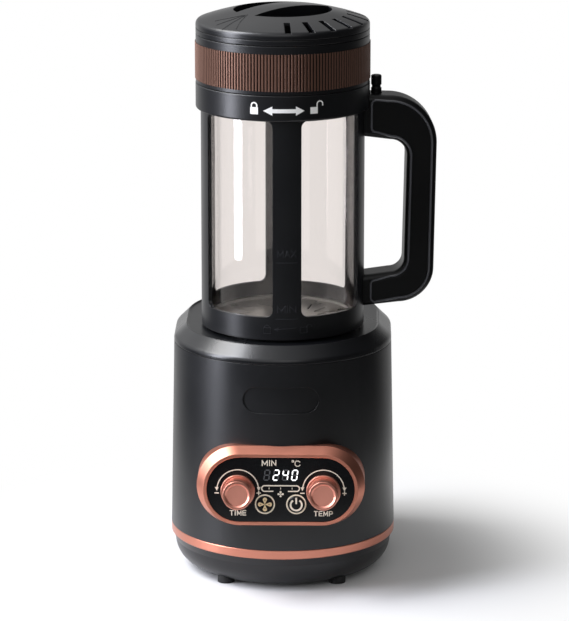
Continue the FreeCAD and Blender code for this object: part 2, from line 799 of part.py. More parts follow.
def top_cover():
    """Cover with a chamfered shoulder, a sunk deck and the well with three bayonet tracks."""
    shoulder = oval([("0", "seam_level"), ("base_top_radius - seam_bevel", "seam_level"),
                     ("base_top_radius", "seam_level + seam_bevel"),
                     ("base_top_radius", "seam_level + cover_edge", "cover_edge_round"),
                     ("base_top_radius - cover_edge_inset", "seam_level + cover_edge_rise"),
                     ("ridge_radius", "ridge_top"), ("ridge_radius - ridge_lip_width", "deck_top"),
                     ("0", "deck_top")])
    skirt_end = "seam_level - lip_height"
    hollow = oval([("0", skirt_end), ("skirt_inner", skirt_end), ("skirt_inner", "seam_level + lip_wall"),
                   ("ridge_radius - 2 * cover_wall", "deck_top - cover_wall"),
                   ("0", "deck_top - cover_wall")])
    well = cylinder("well_outer", "deck_top - cover_underside", "cover_underside")
    bore = cylinder("well_bore", "well_depth + overrun", "well_floor")
    outlet = cylinder("outlet_radius", "well_floor_wall", "cover_underside")
    cover = cut(fuse(shoulder, column("skirt_outer", skirt_end, "seam_level")), hollow)
    cover = cut(fuse(cover, well), bore, outlet)
    low = "(jug_seat + lug_rise)"
    return cut(cover, tracks("well_track", "(%s - free_clearance)" % low,
                             "(%s + lug_height + free_clearance)" % low, "deck_top", "jug_turn", 1,
                             "jug_heading"))


# ---- control pod ----


def panel_frame():
    """Plated frame: a rim, a bevel that flares back and walls that meet the round barrel."""
    body = document.addObject("PartDesign::Body", "Frame")
    front = sketch_on(body, "XY_Plane")
    oblong_outline(front, "frame_width", "frame_height")
    back = sketch_on(body, "XY_Plane", "-frame_bevel")
    oblong_outline(back, "flare_width", "flare_height", "flare_lift")
    bevel = body.newObject("PartDesign::AdditiveLoft", "Bevel")
    bevel.Profile = front
    bevel.Sections = [back]
    bevel.Ruled = True
    wall = body.newObject("PartDesign::Pad", "Wall")
    wall.Profile = back
    wall.Reversed = True
    bind(wall, Length="frame_depth - frame_bevel")
    seat = oblong_block("panel_width", "panel_height", "panel_back", "-panel_back")
    window = oblong_block("panel_width - 2 * frame_ledge", "panel_height - 2 * frame_ledge", "frame_depth",
                          "-frame_depth")
    bore = oblong_block("flare_bore_width", "flare_bore_height", "frame_depth - panel_back - frame_ledge",
                        "-frame_depth", "flare_lift")
    return cut(stood(cut(body, seat, window, bore)), barrel_form())


def control_panel():
    """Flat black panel with holes for two knob shafts and two buttons."""
    panel = oblong_block("panel_width - 2 * fit_clearance", "panel_height - 2 * fit_clearance",
                         "panel_thickness", "-panel_back")
    holes = []
    for side in (-1, 1):
        holes.append(cylinder("knob_shaft_radius + free_clearance", "panel_thickness", "-panel_back",
                              "%d * knob_spacing" % side, "-knob_drop"))
        holes.append(cylinder("button_ring_radius", "panel_thickness", "-panel_back",
                              "%d * button_spacing" % side, "-button_drop"))
    return stood(cut(panel, *holes))


def button_rings():
    """Two bright rings that line the button holes."""
    rings = [ring("button_ring_radius", "button_ring_bore", "panel_thickness + button_ring_proud",
                  "-panel_back", "%d * button_spacing" % side, "-button_drop") for side in (-1, 1)]
    return stood(fuse(*rings))


def push_button():
    """Round cap with a flange that keeps it behind its ring."""
    low = "(-panel_back - button_flange_height)"
    top = "(button_proud - panel_sink)"
    flange = "(button_ring_bore + button_flange)"
    return turned([("0", low), (flange, low), (flange, "-panel_back"), ("button_radius", "-panel_back"),
                   ("button_radius", "%s - button_clearance" % top),
                   ("button_radius - button_clearance", top), ("0", top)])


def knob():
    """Turned knob with a flange, a rounded rim, a dished face and a bore for its shaft."""
    bore = "(knob_shaft_radius + bearing_clearance)"
    edge = "(knob_dish / 2)"
    flange_top = "(knob_low + knob_flange_height)"
    top = "(knob_low + knob_length)"
    return turned([(bore, "knob_low"), ("knob_flange_radius", "knob_low"),
                   ("knob_flange_radius", "%s - %s" % (flange_top, edge), edge),
                   ("knob_flange_radius - %s" % edge, flange_top), ("knob_radius", flange_top),
                   ("knob_radius", "%s - %s" % (top, edge), edge),
                   ("knob_radius - %s" % edge, top), ("knob_radius - %s - knob_rim" % edge, top),
                   ("knob_radius - %s - 2 * knob_rim" % edge, "%s - knob_dish" % top),
                   ("0", "%s - knob_dish" % top), ("0", "knob_shaft_top"), (bore, "knob_shaft_top")])


def knob_shaft():
    """Shaft of a rotary encoder, from inside its housing to the end of the knob's bore."""
    low = "(bearing_clearance - board_depth + board_thickness)"
    return turned([("0", low), ("knob_shaft_radius", low), ("knob_shaft_radius", "knob_shaft_top"),
                   ("0", "knob_shaft_top")])


def encoder_housings():
    """Two encoder housings between board and panel, each with a bearing bore."""
    housings = []
    for side in (-1, 1):
        x = "%d * knob_spacing" % side
        case = box("encoder_size", "encoder_size", "board_depth - panel_back", x, "-knob_drop",
                   "-board_depth")
        bore = cylinder("knob_shaft_radius + bearing_clearance", "board_depth",
                        "board_thickness - board_depth", x, "-knob_drop")
        housings.append(cut(case, bore))
    return stood(fuse(*housings))


def button_switches():
    """Two tact switches on the board, their plungers just clear of a pressed button."""
    top = "(-panel_back - button_flange_height - button_travel - button_clearance)"
    switches = []
    for side in (-1, 1):
        x = "%d * button_spacing" % side
        switches.append(box("switch_size", "switch_size", "board_depth + %s - switch_step" % top, x,
                            "-button_drop", "-board_depth"))
        switches.append(cylinder("switch_plunger", "board_depth + %s" % top, "-board_depth", x,
                                 "-button_drop"))
    return stood(fuse(*switches))


def display_module():
    """Four-digit display block, on the board behind the top middle of the panel."""
    block = box("display_width", "display_height", "display_thickness", "0", "display_rise", "-board_depth")
    glass = box("display_width - 2 * display_edge", "display_height - 2 * display_edge",
                "board_depth - panel_back", "0", "display_rise", "-board_depth")
    return stood(fuse(block, glass))


def control_board():
    """Circuit board behind the panel."""
    board = box("board_width", "board_height", "board_thickness", "0", "0", "-board_depth - board_thickness")
    plug = box("board_height / 2", "display_height / 2", "3 * board_thickness", "0", "0",
               "-board_depth - 4 * board_thickness")
    return stood(fuse(board, plug))


def board_spacers():
    """Four pillars that carry the board from the panel."""
    pillars = [cylinder("spacer_radius", "board_depth - panel_back", "-board_depth", "%d * spacer_x" % side,
                        "%d * spacer_y" % end) for side in (-1, 1) for end in (-1, 1)]
    return stood(fuse(*pillars))


# ---- inside of the base ----

def grille_screw_places():
    """Where the three screws of the intake grille stand."""
    return [("grille_screw_spread * cos(%d)" % angle, "grille_screw_spread * sin(%d)" % angle)
            for angle in (90, 210, 330)]


def intake_grille():
    """Round plate with radial slots over the intake hole."""
    plate = cylinder("intake_radius", "intake_thickness", "bowl_floor")
    slots = [ray_box("intake_slot_inner", "intake_slot_outer", "intake_slot_width", "intake_thickness",
                     "bowl_floor", angle) for angle in around(int(number("intake_slot_count")))]
    holes = [cylinder("screw_radius", "intake_thickness", "bowl_floor", x, y)
             for x, y in grille_screw_places()]
    return cut(plate, *(slots + holes))


def screws(places, seat, length):
    """Pan-head screws that stand upside down in a row of holes, their heads on a seat."""
    solids = []
    for x, y in places:
        head = cylinder("screw_head_radius", "screw_head_height", seat, x, y)
        shank = cylinder("screw_radius", length, "%s - (%s)" % (seat, length), x, y)
        solids.append(fuse(head, shank))
    return fuse(*solids)


def blower_base():
    """Plate on the four posts, with an inlet and a three-armed hub that carries the motor."""
    plate = ring("blower_radius", "blower_inlet", "blower_plate", "blower_rise")
    arms = [ray_box("blower_hub - overrun", "blower_inlet + overrun", "blower_arm", "blower_plate",
                    "blower_rise", angle) for angle in around(3, "90")]
    hub = cylinder("blower_hub", "blower_plate", "blower_rise")
    holes = [cylinder("screw_radius", "blower_plate", "blower_rise", x, y) for x, y in post_places()]
    return cut(fuse(plate, hub, *arms), cylinder("bearing_radius", "blower_plate", "blower_rise"), *holes)


def motor_can():
    """Upright motor that hangs under the hub, with a rear boss and a bore for the shaft."""
    low = "(blower_rise - motor_height)"
    bore = "(shaft_radius + button_clearance)"
    boss = "(%s - motor_step)" % low
    return turned([(bore, "blower_rise"), ("motor_radius", "blower_rise"),
                   ("motor_radius", "%s + motor_step" % low), ("motor_radius - motor_step", low),
                   ("bearing_radius", low), ("bearing_radius", boss),
                   ("0", boss), ("0", "blower_rise - screw_length"),
                   (bore, "blower_rise - screw_length")])


def motor_bearing():
    """Sintered bush in the hub."""
    return ring("bearing_radius", "shaft_radius + bearing_clearance", "blower_plate", "blower_rise")


def motor_shaft():
    """Steel shaft from the motor to the top of the impeller."""
    return cylinder("shaft_radius", "impeller_top - blower_rise + screw_length - button_clearance",
                    "blower_rise - screw_length + button_clearance")


def impeller():
    """Centrifugal wheel: hub, back plate on top and leaned-back blades below it."""
    plate = cylinder("impeller_radius", "impeller_plate", "impeller_top - impeller_plate")
    hub = cylinder("impeller_hub", "impeller_top - impeller_low", "impeller_low")
    blades = []
    for angle in around(int(number("blade_count"))):
        blade = spun(document.addObject("Part::Box", "Blade"), "%s + blade_lean" % angle)
        bind(blade, Length="impeller_radius - impeller_inner", Width="blade_thickness",
             Height="impeller_height", Placement__Base__x="impeller_inner * cos(%s)" % angle,
             Placement__Base__y="impeller_inner * sin(%s)" % angle, Placement__Base__z="impeller_low")
        blades.append(blade)
    bore = cylinder("shaft_radius", "impeller_top - impeller_low", "impeller_low")
    return cut(fuse(plate, hub, *blades), bore)


def blower_cover():
    """Drum round the impeller that narrows to the collar of the heater duct."""
    collar = "(duct_radius + fit_clearance)"
    collar_outer = "(%s + blower_wall)" % collar
    bore = "(duct_bore - fit_clearance)"
    return turned([("blower_radius", "blower_top"), ("blower_radius", "drum_top"), (collar_outer, "cone_top"),
                   (collar_outer, "cone_top + 2 * blower_wall"), (collar, "cone_top + 2 * blower_wall"),
                   (collar, "cone_top"), (bore, "cone_top"), (bore, "cone_top - blower_wall"),
                   ("blower_radius - blower_wall", "drum_top - blower_wall"),
                   ("blower_radius - blower_wall", "blower_top")])


def heater_duct():
    """Steel tube from the blower to the outlet."""
    return ring("duct_radius", "duct_bore", "duct_height", "cone_top")


def duct_gasket():
    """Soft ring between duct and cover."""
    return ring("duct_radius", "(duct_radius + outlet_radius) / 2", "duct_gasket_height",
                "cover_underside - duct_gasket_height")


def heater_coil():
    """Heating ribbon in level turns."""
    turns = [ring("coil_radius", "coil_radius - coil_wire", "coil_wire",
                  "cone_top + mica_margin + coil_pitch * %s" % (place + 0.5))
             for place in range(int(number("coil_count")))]
    return fuse(*turns)


def mica_frame(coil):
    """Two crossed sheets notched for the turns of the coil."""
    span = "(2 * duct_bore - 2 * fit_clearance)"
    height = "coil_pitch * coil_count + mica_margin"
    low = "cone_top + mica_margin / 2"
    across = box(span, "mica_thickness", height, z=low)
    along = box("mica_thickness", span, height, z=low)
    return cut(fuse(across, along), coil)


def thermal_cutout():
    """Round cut-out clipped against the side of the duct."""
    button = document.addObject("Part::Cylinder", "Cutout")
    button.Placement = Placement(Vector(0, 0, 0), Rotation(Vector(0, 1, 0), -90))
    return bind(button, Radius="cutout_radius", Height="cutout_height", Placement__Base__x="-duct_radius",
                Placement__Base__z="cutout_rise")


def mains_board():
    """Upright board at the back with its power parts."""
    board = box("mains_board_width", "mains_board_thickness", "mains_board_height", "0",
                "mains_board_reach + mains_board_thickness / 2", "mains_board_rise")
    parts = box("mains_part_width", "mains_part_depth",
                "mains_board_height - mains_part_rise - rail_thickness", "0",
                "mains_board_reach + mains_board_thickness + mains_part_depth / 2",
                "mains_board_rise + mains_part_rise")
    return fuse(board, parts)


def cord_gland():
    """Grommet in the back of the barrel with an empty cord hole."""
    flange = cut(lying_back(cylinder("gland_flange", "2 * gland_stand"), "-gland_stand"), barrel_form())
    stem = lying_back(cylinder("gland_radius", "gland_depth"), "-gland_depth")
    bore = lying_back(cylinder("gland_bore", "2 * gland_depth"), "-1.5 * gland_depth")
    return cut(fuse(flange, stem), bore)


def jug_switch():
    """Microswitch under the deck beside the well."""
    return ray_box("well_outer", "well_outer + jug_switch_depth", "jug_switch_width", "jug_switch_height",
                   "deck_top - cover_wall - jug_switch_height", "45")


# ---- jug ----

def jug_foot():
    """Spigot with three lugs under a flange that closes the bottom of the cage."""
    bore = "(spigot_radius - spigot_wall)"
    flange = "(cage_bore - fit_clearance)"
    spigot = turned([(bore, "jug_seat"), ("spigot_radius", "jug_seat"), ("spigot_radius", "cage_low"),
                     (flange, "cage_low"), (flange, "flange_top"), (bore, "flange_top")])
    return fuse(spigot, lugs("spigot_radius + lug_reach", bore, "lug_height", "jug_seat + lug_rise"))


def window_cutter(start, sweep):
    """A window of the cage with rounded corners."""
    slab = cut(sector("cage_radius + cage_wall", "window_height", "window_low", start, sweep),
               cylinder("cage_bore - cage_wall", "window_height", "window_low"))
    document.recompute()
    level = (number("window_low"), number("window_top"))
    corners = []
    for place, edge in enumerate(slab.Shape.Edges, start=1):
        ends = [vertex.Point for vertex in edge.Vertexes]
        flat = len(ends) == 2 and abs(ends[0].z - ends[1].z) < 1e-6
        radial = flat and abs((ends[0] - ends[1]).Length - 3 * number("cage_wall")) < 1e-3
        if radial and min(abs(ends[0].z - height) for height in level) < 1e-6:
            corners.append((place, number("window_corner"), number("window_corner")))
    rounded = document.addObject("Part::Fillet", "Window")
    rounded.Base = slab
    rounded.Edges = corners
    return rounded


def jug_cage(screw_tool):
    """Moulded cage: foot ring, four posts and four tall windows."""
    tube = ring("cage_radius", "cage_bore", "cage_top - cage_low", "cage_low")
    handle, front, left = "handle_post_angle / 2", "front_post_angle / 2", "left_post_angle / 2"
    windows = [window_cutter("90 * %d + %s" % (quarter, first), "90 - %s - %s" % (first, second))
               for quarter, first, second in ((0, handle, front), (1, front, left), (2, left, front),
                                              (3, front, handle))]
    return cut(tube, screw_tool, *windows)


def jug_glass():
    """Borosilicate tube."""
    return ring("glass_radius", "glass_bore", "cage_top - top_seal_height - glass_low", "glass_low")


def glass_seal(height, z):
    """Silicone ring on an end of the glass."""
    return ring("cage_bore - fit_clearance", "glass_bore - fit_clearance", height, z)


def air_plate():
    """Steel plate whose slanted slots make the beans whirl."""
    plate = cylinder("glass_bore - 2 * fit_clearance", "air_plate_thickness", "flange_top")
    slots = []
    for angle in around(int(number("air_slot_count"))):
        slot = spun(document.addObject("Part::Box", "Slot"), "%s + blade_lean" % angle)
        bind(slot, Length="air_slot_length", Width="air_slot_width", Height="air_plate_thickness",
             Placement__Base__x="glass_bore / 2 * cos(%s)" % angle,
             Placement__Base__y="glass_bore / 2 * sin(%s)" % angle, Placement__Base__z="flange_top")
        slots.append(slot)
    return cut(plate, *slots)


def jug_collar():
    """Collar on the cage with a ledge over the glass and three tracks for the lid."""
    bore = "(cage_radius + fit_clearance)"
    collar = turned([("collar_radius - collar_round", "window_top", "collar_round"),
                     ("collar_radius", "window_top + collar_round"),
                     ("collar_radius", "collar_top - lid_gap"), ("collar_radius - lid_gap", "collar_top"),
                     ("collar_bore", "collar_top"), ("collar_bore", "ledge_top"),
                     ("collar_ledge_radius", "ledge_top"), ("collar_ledge_radius", "cage_top"),
                     (bore, "cage_top"), (bore, "window_top")])
    low = "(skirt_low + lid_lug_rise)"
    return cut(collar, tracks("collar_track", "(%s - free_clearance)" % low,
                              "(%s + lug_height + free_clearance)" % low, "collar_top", "lid_turn", -1))


def handle_outline(inset, root):
    """Side view of the C-shaped handle, or of a plate that stands inside it by an inset."""
    reach = "(handle_reach - (%s))" % inset
    foot_reach = "(%s - handle_taper)" % reach
    top = "(handle_top - (%s))" % inset
    low = "(handle_low + (%s))" % inset
    gap = "(handle_gap + (%s))" % inset
    gap_low = "(handle_low + arm_low_height - (%s))" % inset
    gap_top = "(handle_top - arm_top_height + (%s))" % inset
    top_round = "(handle_top_round - (%s))" % inset
    low_round = "(handle_low_round - (%s))" % inset
    gap_top_round = "(gap_top_round + (%s))" % inset
    gap_low_round = "(gap_low_round + (%s))" % inset
    return [(root, top), ("%s - %s" % (reach, top_round), "%s - handle_slope / 4" % top, "-" + top_round),
            (reach, "%s - handle_slope / 4 - %s" % (top, top_round)),
            (foot_reach, "%s + handle_slope + %s" % (low, low_round), "-" + low_round),
            ("%s - %s" % (foot_reach, low_round), "%s + handle_slope" % low), (root, low), (root, gap_low),
            ("%s - handle_taper - %s" % (gap, gap_low_round), "%s + handle_slope" % gap_low, gap_low_round),
            ("%s - handle_taper" % gap, "%s + handle_slope + %s" % (gap_low, gap_low_round)),
            (gap, "%s - handle_slope - %s" % (gap_top, gap_top_round), gap_top_round),
            ("%s - %s" % (gap, gap_top_round), "%s - handle_slope" % gap_top), (root, gap_top)]


def handle_plate(inset, root, width, middle="0"):
    """A plate of the handle's side view, its thickness centred on a distance from the handle's plane."""
    body = document.addObject("PartDesign::Body", "Handle")
    sketch = sketch_on(body, "XZ_Plane", "%s - (%s) / 2" % (middle, width))
    closed_outline(sketch, handle_outline(inset, root))
    pad = body.newObject("PartDesign::Pad", "Grip")
    pad.Profile = sketch
    bind(pad, Length=width)
    return body


def handle_cheeks():
    """Two thin plates let into the sides of the handle."""
    middle = "(handle_width - cheek_depth) / 2"
    root = "collar_radius + fit_clearance"
    return fuse(handle_plate("cheek_inset", root, "cheek_depth", middle),
                handle_plate("cheek_inset", root, "cheek_depth", "-" + middle))


def handle_screws():
    """Two screws from inside the cage into the arms of the handle."""
    solids = []
    for height in ("handle_low + arm_low_height / 2", "handle_top - arm_top_height * 5 / 8"):
        for radius, length, reach in (("handle_screw_head", "handle_screw_head_height",
                                       "cage_bore - handle_screw_head_height"),
                                      ("handle_screw_radius", "handle_screw_length", "cage_bore")):
            rod = document.addObject("Part::Cylinder", "Screw")
            rod.Placement = Placement(Vector(0, 0, 0), Rotation(Vector(0, 1, 0), 90))
            bind(rod, Radius=radius, Height=length, Placement__Base__x=reach, Placement__Base__z=height)
            solids.append(rod)
    return fuse(*solids)


def handle_core(cheeks, screw_tool):
    """Handle with rounded edges, seated on cage and collar, bored for the interlock pin."""
    body = handle_plate("0", "handle_root", "handle_width")
    document.recompute()
    grip = body.Tip
    side = number("handle_width") / 2
    names = []
    for place, edge in enumerate(grip.Shape.Edges, start=1):
        points = [edge.valueAt(edge.FirstParameter), edge.valueAt(edge.LastParameter)]
        level = all(abs(abs(point.y) - side) < 1e-6 for point in points)
        if level and max(point.x for point in points) > number("handle_root") + 1:
            names.append("Edge%d" % place)
    soft = body.newObject("PartDesign::Fillet", "Soft")
    soft.Base = (grip, names)
    bind(soft, Radius="handle_edge_round")
    bore = cylinder("pin_radius + pin_clearance", "pin_bore_depth + handle_slope",
                    "handle_top - pin_bore_depth", "pin_reach")
    seat = fuse(cylinder("cage_radius", "cage_top - cage_low", "cage_low"),
                cylinder("collar_radius", "collar_height + overrun", "window_top"))
    return cut(body, seat, bore, cheeks, screw_tool)


def beside_handle(thing):
    """Moves what was turned about the axis to the place of the interlock pin."""
    return bind(thing, Placement__Base__x="pin_reach * cos(jug_heading)",
                Placement__Base__y="pin_reach * sin(jug_heading)")


def interlock_pin():
    """Spring-loaded pin with a stem, a necked head and a rounded top."""
    top = "(handle_top + pin_stand)"
    neck = "(handle_top + pin_radius)"
    return beside_handle(turned([
        ("0", "pin_low - pin_stem_length"), ("pin_stem_radius", "pin_low - pin_stem_length"),
        ("pin_stem_radius", "pin_low"), ("pin_radius", "pin_low"), ("pin_radius", "%s - pin_neck" % neck),
        ("pin_radius - pin_neck", neck), ("pin_radius - pin_neck", "%s + 2 * pin_neck" % neck),
        ("pin_radius", "%s + 3 * pin_neck" % neck), ("pin_radius", "%s - 2 * pin_neck" % top, "2 * pin_neck"),
        ("pin_radius - 2 * pin_neck", top), ("0", top)]))


def pin_spring():
    """Compression spring under the head of the pin, at its pressed length."""
    low = number("handle_top") - number("pin_bore_depth")
    high = number("pin_low") - number("pin_travel") - number("pin_clearance")
    wire = number("spring_wire")
    radius = (number("pin_radius") + number("pin_clearance") + number("pin_stem_radius")) / 2
    height = high - low - 2 * wire
    path = Part.makeHelix(height / number("spring_turns"), height, radius)
    corners = [Vector(radius + x * wire, 0, z * wire) for x, z in ((1, 0), (0, 1), (-1, 0), (0, -1), (1, 0))]
    section = Part.makePolygon(corners)
    coil = document.addObject("Part::Feature", "Spring")
    coil.Shape = Part.Wire(path.Edges).makePipeShell([section], True, True)
    bind(coil, Placement__Base__z="handle_top - pin_bore_depth + spring_wire")
    return beside_handle(coil)


# ---- lid and cap ----

def lid_housing():
    """Lid body: skirt with lugs, floor with a chimney hole and the wall inside the sleeve."""
    bore = "(skirt_radius - skirt_wall)"
    underside = "(lid_floor - lid_floor_wall)"
    housing = turned([("lid_radius", "lid_low"), ("lid_radius", "sleeve_low"), ("lid_outer", "sleeve_low"),
                      ("lid_outer", "sleeve_top"), ("lid_bore", "sleeve_top"), ("lid_bore", "lid_floor"),
                      ("lid_bore_radius", "lid_floor"), ("lid_bore_radius", underside), (bore, underside),
                      (bore, "skirt_low"), ("skirt_radius", "skirt_low"), ("skirt_radius", "lid_low")])
    return fuse(housing, lugs("skirt_radius + lug_reach", bore, "lug_height", "skirt_low + lid_lug_rise"))


def lid_sleeve():
    """Ribbed grip: upright ribs all round a thin sleeve, drawn as one toothed outline."""
    crest, count = number("sleeve_radius"), int(number("rib_count"))
    root = crest - number("rib_depth")
    pitch, share = 360.0 / count, number("rib_share")
    points = []
    for rib in range(count):
        for radius, part in ((root, 0.0), (crest, 0.5 - share / 2), (crest, 0.5 + share / 2)):
            spoke = Rotation(Vector(0, 0, 1), (rib + part) * pitch)
            points.append(spoke.multVec(Vector(radius, 0, 0)))
    outer = Part.makePolygon(points + points[:1])
    bore = Part.Wire(Part.Circle(Vector(0, 0, 0), Vector(0, 0, 1), number("sleeve_bore")).toShape())
    sleeve = document.addObject("Part::Feature", "Sleeve")
    face = Part.makeFace([outer, bore], "Part::FaceMakerBullseye")
    sleeve.Shape = face.extrude(Vector(0, 0, number("sleeve_height")))
    return bind(sleeve, Placement__Base__z="sleeve_low")


def lid_rim():
    """Black ring over the sleeve whose tube takes the cap's lugs and carries the screen."""
    rim = turned([("lid_radius", "sleeve_top"), ("lid_radius", "rim_top - lid_gap"),
                  ("lid_radius - lid_gap", "rim_top"), ("rim_bore", "rim_top"), ("rim_bore", "screen_seat"),
                  ("rim_ledge_radius", "screen_seat"), ("rim_ledge_radius", "rim_low"),
                  ("rim_outer", "rim_low"), ("rim_outer", "sleeve_top")])
    low = "(cap_seat + lug_rise)"
    return cut(rim, tracks("rim_track", "(%s - free_clearance)" % low,
                           "(%s + cap_lug_height + free_clearance)" % low, "rim_top", "cap_turn", -1))


def chaff_chimney():
    """Steel tube that leads the chaff up through the lid's floor."""
    outer = "(lid_bore_radius - fit_clearance)"
    bore = "(%s - chimney_wall)" % outer
    flange_top = "(lid_floor + chimney_wall)"
    return turned([(bore, "lid_floor - lid_floor_wall"), (outer, "lid_floor - lid_floor_wall"),
                   (outer, "lid_floor"), ("lid_bore_radius + chimney_flange", "lid_floor"),
                   ("lid_bore_radius + chimney_flange", flange_top), (outer, flange_top),
                   (outer, "lid_floor + chimney_height"), (bore, "lid_floor + chimney_height")])


def slotted_disc(radius, thickness, z, count, inner, outer, width):
    """A thin steel disc with radial slots."""
    slots = [ray_box(inner, outer, width, thickness, z, angle) for angle in around(int(number(count)))]
    return cut(cylinder(radius, thickness, z), *slots)


def cap_form(inset, low):
    """The cap's domed form as a solid, or the smaller one inside its wall."""
    side = "(lid_radius - (%s))" % inset
    corner = "(cap_round - (%s))" % inset
    edge = "(%s - %s * (1 - sin(dome_slope)))" % (side, corner)
    level = "(cap_bend + %s * cos(dome_slope))" % corner
    return turned([("0", low), (side, low), (side, "cap_bend", corner),
                   (edge, level, "%s / sin(dome_slope)" % edge),
                   ("0", "%s + %s * tan(dome_slope / 2)" % (level, edge))])


def lid_cap():
    """Domed cap: vents, a finger bar across a round recess, a groove and a skirt with lugs."""
    shell = cut(cap_form("0", "cap_low"), cap_form("dome_wall", "cap_low + cap_flange"),
                cylinder("skirt_bore", "cap_flange", "cap_low"))
    floor = "(cap_top - finger_depth)"
    cup = common(cap_form("0", "cap_low"),
                 cylinder("finger_radius + finger_wall", "finger_depth + finger_wall",
                          "%s - finger_wall" % floor))
    skirt = ring("cap_skirt_radius", "skirt_bore", "cap_low + cap_flange - cap_seat", "cap_seat")
    teeth = lugs("cap_skirt_radius + lug_reach", "skirt_bore", "cap_lug_height", "cap_seat + lug_rise")
    bar = ray_box("-finger_radius - overrun", "finger_radius + overrun", "bar_width",
                  "finger_depth + overrun", floor, "bar_angle")
    pockets = cut(cylinder("finger_radius", "finger_depth + overrun", floor), bar)
    vents = [ray_box("vent_inner", "vent_outer", "vent_width", "cap_top - cap_edge + cap_round",
                     "cap_edge - cap_round", "vent_first + %d * vent_pitch" % place)
             for place in range(int(number("vent_count")))]
    groove_z = "(cap_low + cap_groove_rise)"
    groove = ring("lid_radius + overrun", "lid_radius - cap_groove", "cap_groove", groove_z)
    return cut(fuse(shell, cup, skirt, teeth), pockets, groove, *vents)


# ---- the assembly ----

piece("lower_shell", lower_shell())
piece("intake_grille", intake_grille())
piece("grille_screws", screws(grille_screw_places(), "(bowl_floor + intake_thickness)",
                              "grille_screw_depth + intake_thickness"))
piece("rubber_feet", rubber_feet())
piece("trim_band", trim_band())
piece("body_barrel", body_barrel())
piece("top_cover", top_cover())
piece("cord_gland", cord_gland())
piece("blower_base", blower_base())
piece("blower_screws", screws(post_places(), "blower_top", "screw_length"))
piece("blower_cover", blower_cover())
piece("motor_can", motor_can())
piece("motor_bearing", motor_bearing())
piece("motor_shaft", motor_shaft())
piece("impeller", impeller())
piece("heater_duct", heater_duct())
piece("duct_gasket", duct_gasket())
coil = piece("heater_coil", heater_coil())
piece("mica_frame", mica_frame(coil))
piece("thermal_cutout", thermal_cutout())
piece("mains_board", mains_board())
piece("jug_switch", jug_switch())
piece("panel_frame", panel_frame())
piece("control_panel", control_panel())
piece("button_rings", button_rings())
piece("fan_button", stood(push_button(), "-button_spacing", "-button_drop"))
piece("power_button", stood(push_button(), "button_spacing", "-button_drop"))
piece("time_knob", stood(knob(), "-knob_spacing", "-knob_drop"))
piece("temp_knob", stood(knob(), "knob_spacing", "-knob_drop"))
piece("time_shaft", stood(knob_shaft(), "-knob_spacing", "-knob_drop"))
piece("temp_shaft", stood(knob_shaft(), "knob_spacing", "-knob_drop"))
piece("encoder_housings", encoder_housings())
piece("button_switches", button_switches())
piece("display_module", display_module())
piece("control_board", control_board())
piece("board_spacers", board_spacers())

jug_piece("jug_base_seal", ring("spigot_radius", "spigot_radius - spigot_wall", "seat_seal_height",
                                "well_floor"))
jug_piece("jug_foot", jug_foot())
screw_tool = handle_screws()
cheeks = handle_cheeks()
jug_piece("jug_cage", jug_cage(screw_tool))
jug_piece("jug_glass", jug_glass())
jug_piece("glass_seal_lower", glass_seal("glass_seal_height", "flange_top"))
jug_piece("glass_seal_upper", glass_seal("top_seal_height", "cage_top - top_seal_height"))
jug_piece("air_plate", air_plate())
jug_piece("jug_collar", jug_collar())
jug_piece("handle_core", handle_core(cheeks, screw_tool))
jug_piece("handle_cheeks", fuse(cheeks))
jug_piece("handle_screws", fuse(screw_tool))
piece("interlock_pin", interlock_pin())
piece("pin_spring", pin_spring())

jug_piece("lid_gasket", ring("skirt_radius", "collar_ledge_radius", "gasket_height", "ledge_top"))
jug_piece("lid_housing", lid_housing())
jug_piece("lid_sleeve", lid_sleeve())
jug_piece("lid_rim", lid_rim())
jug_piece("chaff_chimney", chaff_chimney())
jug_piece("lid_mesh", slotted_disc("skirt_radius - skirt_wall - fit_clearance", "mesh_thickness",
                                   "lid_floor - lid_floor_wall - mesh_thickness", "mesh_slot_count",
                                   "mesh_slot_inner", "lid_bore_radius - chimney_wall - mesh_margin",
                                   "mesh_slot_width"))
jug_piece("chaff_screen", slotted_disc("cap_skirt_radius", "screen_thickness", "screen_seat",
                                       "screen_slot_count", "screen_slot_inner", "screen_slot_outer",
                                       "screen_slot_width"))
jug_piece("lid_cap", lid_cap())

document.recompute()
for thing in document.Objects:
    if "Invalid" in thing.State or "Error" in thing.State:
        raise RuntimeError("%s (%s) did not build" % (thing.Label, thing.Name))
os.makedirs("parts", exist_ok=True)
for thing in pieces:
    if thing.Shape.isNull() or not thing.Shape.isValid():
        raise RuntimeError("%s has no valid shape" % thing.Label)
for thing in pieces:
    thing.Shape.exportStep("parts/%s.step" % thing.Label)
print("%d pieces" % len(pieces))
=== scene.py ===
import math

import bmesh
import bpy
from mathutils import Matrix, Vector


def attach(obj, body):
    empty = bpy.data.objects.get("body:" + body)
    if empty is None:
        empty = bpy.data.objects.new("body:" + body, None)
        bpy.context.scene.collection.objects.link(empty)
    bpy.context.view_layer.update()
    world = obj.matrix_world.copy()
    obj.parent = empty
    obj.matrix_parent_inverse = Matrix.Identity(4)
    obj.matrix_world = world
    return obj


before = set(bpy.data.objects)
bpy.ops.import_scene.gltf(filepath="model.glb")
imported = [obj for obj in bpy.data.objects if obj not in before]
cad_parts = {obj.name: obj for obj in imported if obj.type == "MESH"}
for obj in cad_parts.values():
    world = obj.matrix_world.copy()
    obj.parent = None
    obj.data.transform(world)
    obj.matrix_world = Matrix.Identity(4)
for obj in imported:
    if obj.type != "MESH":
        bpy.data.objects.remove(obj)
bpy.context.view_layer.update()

# ---- camera ----
# A long lens on a tripod, two and a half metres in front of the roaster
# and a little above it, turned one degree round from square.
TO_AXIS = 2.455
EYE_HEIGHT = 0.794
HEADING = math.radians(1.0)
PITCH = math.radians(13.92)
